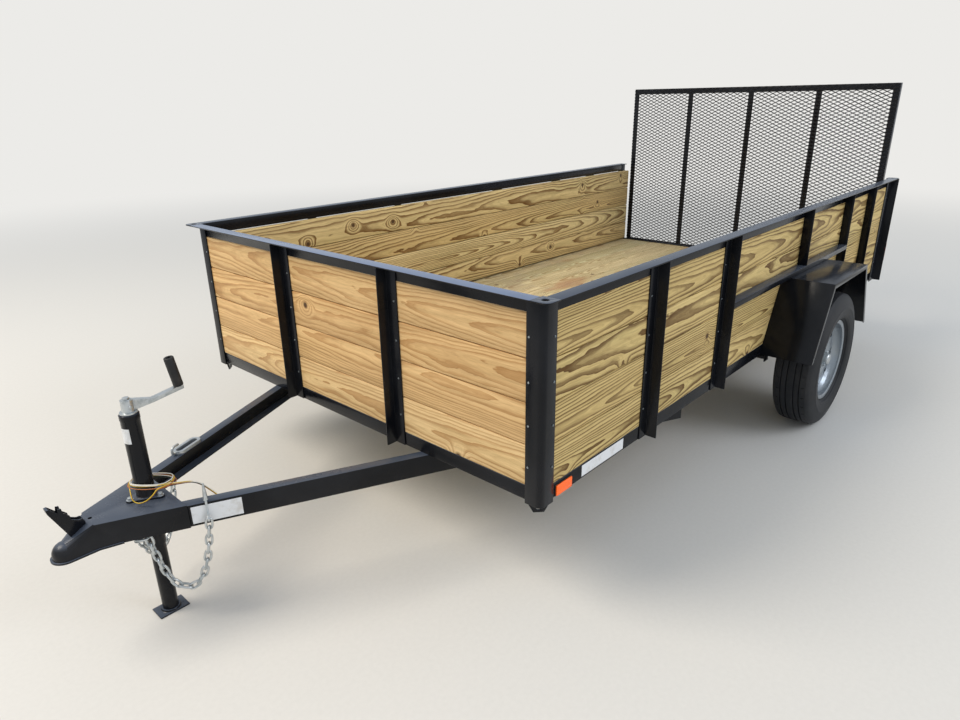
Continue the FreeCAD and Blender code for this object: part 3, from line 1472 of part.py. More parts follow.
beam_way = Vector(-math.cos(math.radians(float(tongue_angle))),
                  math.sin(math.radians(float(tongue_angle))), 0)
beam_in = Vector(-beam_way.y, beam_way.x, 0)
grommet_x = float(jack_x) - GROMMET_BEHIND
grommet_seat = Vector(grommet_x, float((apex_x - grommet_x) * taper), 0) + beam_in * float(web)
grommet_seat.z = float(beam_top) - GROMMET_BELOW
lead_exit = grommet_seat + beam_in * GROMMET_THICK
coil_reach = float(jack_radius) + COIL_CLEAR + float(size("wiring_thick"))
lead_end = coil_start + coil_way * (COIL_STRETCH + coil_reach)
lead_end.z = wiring_middle
LEAD_FIRST_RUN = 34.0
LEAD_LAST_RUN = 24.0
LEAD_POINTS = (
    (-172.0, 132.0, 415.0),
    (-156.0, 112.0, 438.0),
    (-134.0, 103.0, 466.0),
    (-108.0, 101.0, 486.0),
)
lead_points = [lead_exit, lead_exit + beam_in * LEAD_FIRST_RUN]
lead_points += [coil_start + Vector(*place) for place in LEAD_POINTS]
lead_points += [lead_end + coil_way * LEAD_LAST_RUN, lead_end]

# Loop in front of the jack: along the coil, out from its flat side, height above the ground
LOOP_POINTS = (
    (46.0, 0.0, 490.0),
    (46.0, 14.0, 490.0),
    (39.0, 21.0, 477.0),
    (25.0, 21.5, 461.0),
    (10.0, 19.5, 456.0),
    (0.0, 19.0, 467.0),
    (-3.0, 12.0, 480.0),
    (-3.0, 0.0, 480.0),
)
loop_points = [coil_start + coil_way * along - coil_side * (coil_reach + out) + Vector(0, 0, up)
               for along, out, up in LOOP_POINTS]
grommet = Part.makeCylinder(GROMMET_RADIUS, GROMMET_THICK, grommet_seat, beam_in)
node("wiring_grommet", fixed_shape("grommet_disc", grommet))
node("wiring_coil", fixed_shape("wiring_ring", coil_shape()))
node("wiring_lead", fixed_shape(
    "wiring_lead_cord", cord_shape("wiring lead", lead_points, float(size("lead_wire")))))
node("wiring_loop", fixed_shape(
    "wiring_loop_cord", cord_shape("wiring loop", loop_points, float(size("loop_wire")))))


# Lamps: amber side markers at the front, red lamps on the rear posts

MARKER_LENGTH = 86.0
MARKER_HEIGHT = 41.0
MARKER_THICK = 9.0
marker_front = post_front - post_leg - 12
markers = []
tail_lamps = []
for side_name, side in SIDES:
    low, high = (wall_side, wall_side + MARKER_THICK)
    if side < 0:
        low, high = (-wall_side - MARKER_THICK, -wall_side)
    markers.append(box(f"marker_{side_name}", (marker_front - MARKER_LENGTH, marker_front),
                       (low, high), (frame_bottom + 2, frame_bottom + 2 + MARKER_HEIGHT)))
    low, high = (wall_side + 1, half_width - 1) if side > 0 else (1 - half_width, -wall_side - 1)
    tail_lamps.append(box(f"tail_lamp_{side_name}", (rear_x - 22, rear_x), (low, high),
                          (frame_bottom + 120, frame_bottom + 240)))
node("side_markers", group("side_marker_set", markers))
node("tail_lamps", group("tail_lamp_set", tail_lamps))


# Check every object, then write each sub-part

doc.recompute()
for item in doc.Objects:
    if "Invalid" in item.State or "Error" in item.State:
        raise RuntimeError(f"{item.Name}: {item.State}")
os.makedirs("parts", exist_ok=True)
for label, made in NODES.items():
    shape = made.Shape
    if shape.isNull() or not shape.isValid() or not shape.Solids:
        raise RuntimeError(f"{label} has no valid solid")
for label, made in NODES.items():
    made.Shape.exportStep(f"parts/{label}.step")
    bounds = made.Shape.BoundBox
    print(f"{label:24s} solids {len(made.Shape.Solids):3d} "
          f"x {bounds.XMin:8.1f} {bounds.XMax:8.1f} y {bounds.YMin:8.1f} {bounds.YMax:8.1f} "
          f"z {bounds.ZMin:7.1f} {bounds.ZMax:7.1f} volume {made.Shape.Volume / 1000:9.1f} cm3")
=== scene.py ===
"""Looks of a single-axle utility trailer with wooden sides and a mesh ramp gate.

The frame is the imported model: +X points forward to the coupler, +Y to the trailer's
left and +Z up, in metres, with the ground at zero. Each sub-assembly is a class that
builds its meshes at their place and dresses them with procedural finishes.
"""

import logging
import math
import random
from collections.abc import Callable, Iterable, Iterator, Sequence
from contextlib import contextmanager
from dataclasses import dataclass
from enum import Enum
from typing import ClassVar

import bmesh
import bpy
from mathutils import Matrix, Vector


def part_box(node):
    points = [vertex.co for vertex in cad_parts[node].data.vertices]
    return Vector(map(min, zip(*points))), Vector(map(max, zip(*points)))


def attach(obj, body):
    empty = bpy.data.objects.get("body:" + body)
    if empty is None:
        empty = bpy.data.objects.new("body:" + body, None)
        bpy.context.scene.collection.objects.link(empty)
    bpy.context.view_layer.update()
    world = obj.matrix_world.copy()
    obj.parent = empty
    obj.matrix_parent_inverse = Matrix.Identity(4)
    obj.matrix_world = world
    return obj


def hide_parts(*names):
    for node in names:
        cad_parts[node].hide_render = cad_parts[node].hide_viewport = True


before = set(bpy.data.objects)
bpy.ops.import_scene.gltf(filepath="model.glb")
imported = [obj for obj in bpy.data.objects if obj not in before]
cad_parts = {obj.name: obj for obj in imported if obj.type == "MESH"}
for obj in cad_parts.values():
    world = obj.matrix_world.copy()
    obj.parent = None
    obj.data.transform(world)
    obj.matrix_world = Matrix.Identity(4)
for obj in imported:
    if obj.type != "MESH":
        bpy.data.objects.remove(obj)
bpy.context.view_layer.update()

LOG = logging.getLogger("utility_trailer")
TONGUE_TURN = math.radians(25.0)

Point = tuple[float, float, float]
Colour = tuple[float, float, float, float]
Piece = bpy.types.Object


class Body(str, Enum):
    """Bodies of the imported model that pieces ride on."""

    CHASSIS = "chassis"
    WHEEL_LEFT = "wheel_left"
    WHEEL_RIGHT = "wheel_right"
    GATE = "gate"
    JACK_LEG = "jack_leg"


class Grain(Enum):
    """Which way the boards of a wall run, as the indices (along, across, depth)."""

    LENGTHWISE = (0, 2, 1)
    CROSSWISE = (1, 2, 0)
    FLOOR = (0, 1, 2)


# Colours and node trees


def srgb(code: str) -> Colour:
    """Linear colour of a hexadecimal screen colour.

    Args:
        code: Six digits after a hash sign, such as "#808080".

    Returns:
        Red, green, blue and full opacity.
    """
    levels = [int(code[start:start + 2], 16) / 255 for start in (1, 3, 5)]
    linear = [v / 12.92 if v <= 0.04045 else ((v + 0.055) / 1.055) ** 2.4 for v in levels]
    return (linear[0], linear[1], linear[2], 1.0)


def both_ways(operation: str) -> tuple[Callable, Callable]:
    """Methods for one operator, plain and reflected, that each add a Math node.

    Args:
        operation: The Math node's operation.

    Returns:
        The method with this wire first, and the one with the other value first.
    """

    def plain(self: "Wire", other: "Wire | float") -> "Wire":
        """This wire first."""
        return self.math(operation, self, other)

    def reflected(self: "Wire", other: float) -> "Wire":
        """The other value first."""
        return self.math(operation, other, self)

    return plain, reflected


class Wire:
    """An output socket of a recipe; arithmetic on it adds Math nodes."""

    def __init__(self, recipe: "Recipe", socket: bpy.types.NodeSocket) -> None:
        """Keep the socket with the recipe that it belongs to."""
        self.recipe = recipe
        self.socket = socket

    def math(self, operation: str, *values: "Wire | float") -> "Wire":
        """Add one Math node with its inputs in order."""
        return self.recipe.add("ShaderNodeMath", {"operation": operation}, dict(enumerate(values)))

    __add__, __radd__ = both_ways("ADD")
    __sub__, __rsub__ = both_ways("SUBTRACT")
    __mul__, __rmul__ = both_ways("MULTIPLY")
    __truediv__, __rtruediv__ = both_ways("DIVIDE")

    def root(self) -> "Wire":
        """Square root."""
        return self.math("SQRT", self)

    def part(self) -> "Wire":
        """What stands after the decimal point."""
        return self.math("FRACT", self)

    def most(self, other: "Wire | float") -> "Wire":
        """The larger of two values."""
        return self.math("MAXIMUM", self, other)

    def above(self, other: "Wire | float") -> "Wire":
        """One where this is greater, else zero."""
        return self.math("GREATER_THAN", self, other)

    def step(self, low: float, high: float) -> "Wire":
        """A smooth step from 0 at low to 1 at high; low may be the larger.

        Args:
            low: Where the step begins.
            high: Where it ends.

        Returns:
            The step, held between 0 and 1.
        """
        if low > high:
            return 1.0 - self.step(high, low)
        inputs = {"Value": self, "From Min": low, "From Max": high}
        return self.recipe.add("ShaderNodeMapRange", {"interpolation_type": "SMOOTHSTEP"}, inputs)


class Recipe:
    """A node tree under construction, of a material or of the world."""

    def __init__(self, owner: bpy.types.Material | bpy.types.World) -> None:
        """Start with an empty tree.

        Args:
            owner: The material or world that the tree belongs to.
        """
        owner.use_nodes = True
        self.owner = owner
        self.tree = owner.node_tree
        self.tree.nodes.clear()

    def add(self, kind: str, settings: dict, inputs: dict, output: int | str = 0) -> Wire:
        """Add any node.

        Args:
            kind: The node's type name.
            settings: Its properties, set before its sockets; "stops" sets a ramp's two stops.
            inputs: Socket names or indices with their values or wires.
            output: The socket that the result is taken from.

        Returns:
            The chosen output, or the first input of a node that has none.
        """
        made = self.tree.nodes.new(kind)
        for key, value in settings.items():
            if key == "stops":
                for element, (position, colour) in zip(made.color_ramp.elements, value):
                    element.position = position
                    element.color = colour
            else:
                setattr(made, key, value)
        for key, value in inputs.items():
            if isinstance(value, Wire):
                self.tree.links.new(value.socket, made.inputs[key])
            else:
                made.inputs[key].default_value = value
        return Wire(self, made.outputs[output] if made.outputs else made.inputs[0])

    def place(self) -> Wire:
        """Object coordinates."""
        return self.add("ShaderNodeTexCoord", {}, {}, "Object")

    def attribute(self, name: str, output: str) -> Wire:
        """An attribute of the piece's own."""
        return self.add("ShaderNodeAttribute", {"attribute_name": name}, {}, output)

    def axes(self, vector: Wire) -> tuple[Wire, Wire, Wire]:
        """The three parts of a vector."""
        node = self.add("ShaderNodeSeparateXYZ", {}, {0: vector}).socket.node
        return (Wire(self, node.outputs[0]), Wire(self, node.outputs[1]), Wire(self, node.outputs[2]))

    def stretched(self, vector: Wire, scale: Point) -> Wire:
        """A vector scaled by axis."""
        return self.add("ShaderNodeMapping", {}, {"Vector": vector, "Scale": scale})

    def noise(self, vector: Wire, scale: float, detail: float = 2.0, rough: float = 0.5) -> Wire:
        """Cloudy noise, mostly near one half.

        Args:
            vector: Where it is read.
            scale: Clouds per metre.
            detail: Finer layers.
            rough: Strength of the finer layers.

        Returns:
            The noise from 0 to 1.
        """
        inputs = {"Vector": vector, "Scale": scale, "Detail": detail, "Roughness": rough}
        return self.add("ShaderNodeTexNoise", {}, inputs)

    def blend(self, first: Wire | Colour, second: Wire | Colour, factor: Wire | float,
              way: str = "MIX") -> Wire:
        """Two colours mixed.

        Args:
            first: The colour at factor 0.
            second: The colour at factor 1.
            factor: Share of the second colour.
            way: The mixing mode.

        Returns:
            The mixed colour.
        """
        settings = {"data_type": "RGBA", "blend_type": way}
        return self.add("ShaderNodeMix", settings, {0: factor, 6: first, 7: second}, 2)

    def coats(self, base: Wire | str, *coats: tuple[str, Wire | float]) -> Wire:
        """A base colour under coats of others.

        Args:
            base: The lowest colour.
            coats: Each coat's colour and the share that it covers, the lowest first.

        Returns:
            The colour on top.
        """
        colour = srgb(base) if isinstance(base, str) else base
        for code, share in coats:
            colour = self.blend(colour, srgb(code), share)
        return colour

    def bump(self, height: Wire, distance: float, below: Wire | None = None) -> Wire:
        """A bumped normal.

        Args:
            height: Height from 0 to 1.
            distance: What 1 stands for, in metres.
            below: A bump that this one lies on.

        Returns:
            The normal.
        """
        inputs = {"Height": height, "Distance": distance, "Strength": 1.0}
        if below is not None:
            inputs["Normal"] = below
        return self.add("ShaderNodeBump", {}, inputs)

    def finish(self, **inputs: Wire | float | Colour) -> bpy.types.Material:
        """Close a material's recipe with its Principled shader.

        Args:
            inputs: The shader's sockets, with underscores for spaces.

        Returns:
            The material.
        """
        named = {key.replace("_", " "): value for key, value in inputs.items()}
        shader = self.add("ShaderNodeBsdfPrincipled", {}, named)
        self.add("ShaderNodeOutputMaterial", {}, {"Surface": shader})
        return self.owner


# Finishes


@dataclass(frozen=True)
class Finish:
    """A finish under its material's name."""

    name: str

    def recipe(self) -> Recipe:
        """A new recipe under the finish's name."""
        return Recipe(bpy.data.materials.new(self.name))


@dataclass(frozen=True)
class PaintedSteel(Finish):
    """Gloss black enamel on rolled steel, with a painted reflection of the sky on its upper faces and
    a little road dust.
    """

    name: str = "painted_steel"
    colour: str = "#0b0d12"
    cloudy: str = "#14171e"
    bare: str = "#5b5e63"
    dust: str = "#77736c"
    gloss: float = 0.2
    dust_top: float = 0.08
    # Painted reflection of the sky on the upper faces: its colour, and below it how much of it is
    # laid on.
    sky_sheen: str = "#5a6577"
    sky_sheen_share: float = 0.72
    scale_marks: float = 0.00018

    def build(self) -> bpy.types.Material:
        """Make the material.

        Returns:
            The material.
        """
        recipe = self.recipe()
        place = recipe.place()
        cloud = recipe.noise(place, 3.0, 4.0, 0.6)
        speck = recipe.noise(place, 160.0, 3.0, 0.7)
        peel = recipe.noise(place, 420.0, 2.0)
        roll = recipe.noise(place, 22.0, 3.0, 0.6)
        normal = recipe.add("ShaderNodeTexCoord", {}, {}, "Normal")
        upward = recipe.axes(normal)[2].most(0.0)
        low = recipe.axes(place)[2].step(0.50, 0.05) * 0.20
        settled = upward * self.dust_top
        dusty = (low + settled + 0.012) * cloud.step(0.32, 0.72) * (0.55 + speck * 0.9)
        worn = speck.step(0.71, 0.78) * cloud.step(0.5, 0.7) * 0.25
        # Painted sky reflection: upper faces lightened towards blue-grey, as glossy paint would
        # mirror the sky.
        sky_sheen = upward.step(0.55, 0.98) * (0.6 + cloud * 0.4) * self.sky_sheen_share
        colour = recipe.coats(self.colour, (self.cloudy, cloud.step(0.35, 0.75)), (self.bare, worn),
                              (self.sky_sheen, sky_sheen), (self.dust, dusty))
        rough = self.gloss + (roll - 0.5) * 0.12 + dusty * 0.8
        relief = recipe.bump(roll, self.scale_marks * 2.2)
        relief = recipe.bump(peel, self.scale_marks * 0.28, relief)
        return recipe.finish(Base_Color=colour, Roughness=rough, Normal=relief,
                             Specular_IOR_Level=0.22)


@dataclass(frozen=True)
class Pine(Finish):
    """Pressure-treated pine, sawn flat, with its rings, knots and treatment stain."""

    light: str
    dark: str
    stain: str
    tint: str
    stain_share: float = 0.35
    tint_share: float = 0.5
    contrast: float = 0.95
    soil: float = 0.0
    ring: float = 0.0092
    knot_share: float = 0.25
    knots_per_metre: float = 3.6

    def build(self) -> bpy.types.Material:
        """Make the material from the log_place, face_place and tone attributes of the planks.

        Returns:
            The material.
        """
        recipe = self.recipe()
        log = recipe.attribute("log_place", "Vector")
        tone = recipe.attribute("tone", "Fac")
        core, rim, swell = self._knots(recipe)
        count = self._ring_count(recipe, log, swell)
        ring = count.part()
        late = ring.step(0.34, 0.90) * ring.step(1.0, 0.955)
        hair = (count * 4.0).part()
        fine = hair.step(0.45, 0.95) * hair.step(1.0, 0.9)
        fibre = recipe.noise(recipe.stretched(log, (9.0, 700.0, 700.0)), 1.0, 3.0, 0.6)
        streak = recipe.noise(recipe.stretched(log, (2.0, 60.0, 60.0)), 1.0, 2.0)
        patch = recipe.noise(recipe.stretched(log, (1.4, 9.0, 9.0)), 1.0, 3.0)
        dark_share = late * (self.contrast * (0.70 + patch.step(0.3, 0.65) * 0.30)) + fine * 0.17
        colour = recipe.coats(self.light, (self.tint, tone * self.tint_share),
                              (self.stain, patch.step(0.42, 0.75) * self.stain_share),
                              (self.dark, dark_share))
        stops = ((0.3, srgb("#bfb6a6")), (0.6, srgb("#ffffff")))
        shade = recipe.add("ShaderNodeValToRGB", {"stops": stops}, {0: fibre * 0.5 + streak * 0.5})
        colour = recipe.blend(colour, shade, 0.75, "MULTIPLY")
        colour = recipe.coats(colour, ("#6b4522", rim * 0.66), ("#3a2412", core * 0.85))
        if self.soil:
            place = recipe.place()
            mud = recipe.noise(place, 2.6, 5.0, 0.65)
            rust = recipe.noise(recipe.stretched(place, (1.0, 2.2, 1.0)), 1.7, 5.0)
            colour = recipe.coats(colour, ("#a08f80", mud.step(0.5, 0.72) * self.soil),
                                  ("#a4572f", rust.step(0.56, 0.72) * self.soil))
        rough = 0.72 - late * 0.14 - core * 0.15
        relief = recipe.bump(late * 0.5 + fibre * 0.5 - core * 0.6, 0.0007)
        return recipe.finish(Base_Color=colour, Roughness=rough, Normal=relief,
                             Specular_IOR_Level=0.3)

    def _knots(self, recipe: Recipe) -> tuple[Wire, Wire, Wire]:
        """Knots strewn over the faces of the planks.

        Args:
            recipe: The material's recipe.

        Returns:
            The knots' cores, their rims and how far the rings swell round them.
        """
        cells = {"Vector": recipe.attribute("face_place", "Vector"),
                 "Scale": self.knots_per_metre, "Randomness": 1.0}
        knots = recipe.add("ShaderNodeTexVoronoi", {"voronoi_dimensions": "2D"}, cells)
        cell_colour = Wire(recipe, knots.socket.node.outputs["Color"])
        has_knot = recipe.axes(cell_colour)[0].above(1.0 - self.knot_share)
        reach = knots / self.knots_per_metre
        return (reach.step(0.0115, 0.0075) * has_knot, reach.step(0.021, 0.010) * has_knot,
                reach.step(0.085, 0.0) * has_knot)

    def _ring_count(self, recipe: Recipe, log: Wire, swell: Wire) -> Wire:
        """Growth rings counted from the pith of the log.

        Args:
            recipe: The material's recipe.
            log: Place in the log, along it and away from its pith.
            swell: How far the rings swell round a knot.

        Returns:
            The count, whole where one ring ends.
        """
        _, across, depth = recipe.axes(log)
        wander = recipe.noise(recipe.stretched(log, (1.3, 7.0, 7.0)), 1.0, 2.0) - 0.5
        wobble = recipe.noise(recipe.stretched(log, (7.0, 26.0, 26.0)), 1.0, 3.0) - 0.5
        radius = (across * across + depth * depth).root()
        radius = radius + wander * 0.036 + wobble * 0.008 - swell * swell * 0.024
        along_radius = recipe.add("ShaderNodeCombineXYZ", {}, {0: radius})
        return radius / self.ring + recipe.noise(along_radius, 26.0) * 2.4


@dataclass(frozen=True)
class TyreRubber(Finish):
    """New black rubber with a trace of dust."""

    name: str = "tyre_rubber"
    colour: str = "#121418"
    worn: str = "#1f2227"
    dust: str = "#77716a"

    def build(self) -> bpy.types.Material:
        """Make the material.

        Returns:
            The material.
        """
        recipe = self.recipe()
        place = recipe.place()
        cloud = recipe.noise(place, 7.0, 4.0, 0.6)
        grit = recipe.noise(place, 240.0, 3.0, 0.7)
        fine = recipe.noise(place, 900.0, 2.0)
        dusty = cloud.step(0.4, 0.78) * (0.03 + grit * 0.12)
        colour = recipe.coats(self.colour, (self.worn, cloud), (self.dust, dusty))
        relief = recipe.bump(grit * 0.6 + fine * 0.4, 0.00014)
        return recipe.finish(Base_Color=colour, Roughness=0.56 + dusty * 0.8, Normal=relief,
                             Specular_IOR_Level=0.32)


@dataclass(frozen=True)
class WheelPaint(Finish):
    """Silver wheel paint, written darker than bare silver as painted shade of the fender, with fine
    flake and brake dust.
    """

    name: str = "wheel_silver"
    # Darkened silver: painted shade of the fender over the wheel.
    colour: str = "#8f979e"
    flakes: str = "#cfd5da"
    dust: str = "#5f5a53"

    def build(self) -> bpy.types.Material:
        """Make the material.

        Returns:
            The material.
        """
        recipe = self.recipe()
        place = recipe.place()
        flake = recipe.noise(place, 1500.0, 1.0)
        cloud = recipe.noise(place, 12.0, 4.0, 0.6)
        grit = recipe.noise(place, 300.0, 2.0, 0.7)
        dirt = cloud.step(0.5, 0.8) * (0.2 + grit * 0.5)
        colour = recipe.coats(self.colour, (self.flakes, flake.step(0.45, 0.7) * 0.35),
                              (self.dust, dirt * 0.6))
        relief = recipe.bump(recipe.noise(place, 350.0, 2.0), 0.00006)
        return recipe.finish(Base_Color=colour, Metallic=0.72 - dirt * 0.4,
                             Roughness=0.28 + dirt * 0.4, Normal=relief)


@dataclass(frozen=True)
class Zinc(Finish):
    """Bright zinc plate with a cloudy bloom."""

    name: str = "zinc_plate"
    colour: str = "#c6cbcd"
    bloom: str = "#98a0a2"
    stain: str = "#8c8272"

    def build(self) -> bpy.types.Material:
        """Make the material.

        Returns:
            The material.
        """
        recipe = self.recipe()
        place = recipe.place()
        cloud = recipe.noise(place, 45.0, 4.0, 0.6)
        grit = recipe.noise(place, 420.0, 3.0, 0.7)
        dull = cloud.step(0.4, 0.75)
        colour = recipe.coats(self.colour, (self.bloom, dull * 0.8),
                              (self.stain, grit.step(0.58, 0.75) * dull * 0.5))
        relief = recipe.bump(grit, 0.00012)
        return recipe.finish(Base_Color=colour, Metallic=0.92 - dull * 0.25,
                             Roughness=0.3 + dull * 0.22, Normal=relief)


@dataclass(frozen=True)
class Plastic(Finish):
    """Moulded plastic or rubber in one colour with a fine texture."""

    colour: str
    rough: float = 0.5
    grain: float = 500.0
    relief: float = 0.0001
    dust: str = "#77706a"

    def build(self) -> bpy.types.Material:
        """Make the material.

        Returns:
            The material.
        """
        recipe = self.recipe()
        place = recipe.place()
        grain = recipe.noise(place, self.grain, 2.0)
        cloud = recipe.noise(place, 14.0, 3.0)
        colour = recipe.coats(self.colour, (self.dust, cloud.step(0.5, 0.85) * 0.16))
        relief = recipe.bump(grain, self.relief)
        return recipe.finish(Base_Color=colour, Roughness=self.rough + (cloud - 0.5) * 0.15,
                             Normal=relief)


@dataclass(frozen=True)
class Lens(Finish):
    """Coloured lamp plastic with a prism pattern behind a clear skin, and a weak painted glow."""

    colour: str
    glow: str
    pitch: float = 0.0042
    slant: float = 0.577

    def build(self) -> bpy.types.Material:
        """Make the material.

        Returns:
            The material.
        """
        recipe = self.recipe()
        along, across, up = recipe.axes(recipe.place())
        side = (along + across) / self.pitch
        rise = up / self.pitch
        first = (side + rise * self.slant).part() - 0.5
        second = (side - rise * self.slant).part() - 0.5
        prism = (first * first + second * second).root()
        colour = recipe.coats(self.glow, (self.colour, prism.step(0.1, 0.62)))
        relief = recipe.bump(prism, 0.0004)
        # The weak emission is a painted glow on a lens whose lamp is not lit.
        return recipe.finish(Base_Color=colour, Roughness=0.16, Normal=relief,
                             Emission_Color=colour, Emission_Strength=0.2,
                             Coat_Weight=0.25, Coat_Roughness=0.05)


@dataclass(frozen=True)
class Sticker(Finish):
    """A blank printed label, satin, with soft wrinkles and soiled edges."""

    name: str = "blank_label"
    colour: str = "#e4e6e8"
    soil: str = "#b9b3a8"

    def build(self) -> bpy.types.Material:
        """Make the material.

        Returns:
            The material.
        """
        recipe = self.recipe()
        place = recipe.place()
        cloud = recipe.noise(place, 30.0, 4.0, 0.6)
        grit = recipe.noise(place, 350.0, 2.0)
        colour = recipe.coats(self.colour, (self.soil, cloud.step(0.45, 0.8) * 0.6))
        relief = recipe.bump(cloud * 0.8 + grit * 0.2, 0.0003)
        return recipe.finish(Base_Color=colour, Roughness=0.38 + cloud * 0.2, Normal=relief)


@dataclass(frozen=True)
class StudioFloor(Finish):
    """Pale floor that fades into the backdrop far away."""

    name: str = "studio_floor"
    colour: str = "#d9d8d4"
    grained: str = "#d2d1cd"
    backdrop: str = "#ecebe8"
    fade_from: float = 3.6
    fade_to: float = 12.5

    def build(self) -> bpy.types.Material:
        """Make the material.

        Returns:
            The material.
        """
        recipe = self.recipe()
        place = recipe.place()
        x, y, _ = recipe.axes(place)
        away = (x * x + y * y).root().step(self.fade_from, self.fade_to)
        seen = recipe.add("ShaderNodeLightPath", {}, {}, "Is Camera Ray")
        glossy = recipe.add("ShaderNodeLightPath", {}, {}, "Is Glossy Ray")
        colour = recipe.coats(self.colour, (self.grained, recipe.noise(place, 60.0, 3.0)))
        matt = recipe.add("ShaderNodeBsdfDiffuse", {}, {"Color": colour})
        lit = recipe.add("ShaderNodeEmission", {}, {"Color": srgb(self.backdrop)})
        mixed = recipe.add("ShaderNodeMixShader", {}, {0: away * seen.most(glossy), 1: matt, 2: lit})
        recipe.add("ShaderNodeOutputMaterial", {}, {"Surface": mixed})
        return recipe.owner


class Finishes:
    """Every finish of the trailer, built once, with the record's slot that it belongs to."""

    table: ClassVar[dict] = {
        "steel": ("steel_black", PaintedSteel()),
        # The fender sheet's copy lays a weaker painted sky reflection on its tops.
        "sheet": ("steel_black", PaintedSteel("painted_sheet", "#101216", gloss=0.16,
                                              sky_sheen_share=0.2, scale_marks=0.00006)),
        # A lit copy of the enamel: the front rail's top gets a paler, stronger painted sky reflection
        # than the other rails.
        "front_rail_sheen": ("steel_black", PaintedSteel("painted_front_rail", sky_sheen="#8495b4",
                                                   sky_sheen_share=0.84)),
        "mesh_steel": ("steel_black", PaintedSteel("painted_mesh", "#121418", gloss=0.4)),
        "side_pine": ("wood_side", Pine("pine_side", "#e6cf92", "#6a4a1e", "#c9bd7c", "#d0ad68")),
        # The far wall's pine is written brighter than the near wall's: painted light for its inner
        # face, which the lamps reach less. Its larger share of knots is the boards' own.
        "far_pine_brightened": ("wood_side", Pine("pine_far_side", "#edd69c", "#7d5829", "#d2c98f", "#d8b472",
                                       knot_share=0.5)),
        "front_pine": ("wood_side", Pine("pine_front", "#eacd99", "#b1814a", "#e0be80", "#d6a56a",
                                         0.3, contrast=0.72, ring=0.0074, knot_share=0.12)),
        "floor_pine": ("wood_floor", Pine("pine_floor", "#e8d5a8", "#a07d4b", "#cbc79b", "#d1d4a4",
                                          0.35, contrast=0.85, soil=0.42, ring=0.0070)),
        "rubber": ("tyre_rubber", TyreRubber()),
        "silver": ("wheel_silver", WheelPaint()),
        "zinc": ("zinc", Zinc()),
        "screw_zinc": ("zinc", Zinc("zinc_screws", "#8d9499")),
        "grip": ("grip_rubber", Plastic("grip_rubber", "#141517", 0.62)),
        "amber": ("marker_amber", Lens("marker_amber", "#ff5000", "#ff7a0c")),
        "red": ("lamp_red", Lens("lamp_red", "#a8120e", "#e03224")),
        "label": ("wheel_silver", Sticker()),
        "yellow": ("wire_covers", Plastic("wire_yellow", "#d8b62c", 0.4)),
        "brown": ("wire_covers", Plastic("wire_brown", "#a8602a", 0.4)),
        "white": ("wire_covers", Plastic("wire_white", "#dcdad2", 0.4)),
        "green": ("wire_covers", Plastic("wire_green", "#26352c", 0.4)),
    }

    def __init__(self) -> None:
        """Build every material."""
        self.made = {key: (slot, finish.build()) for key, (slot, finish) in self.table.items()}


# Hand tools


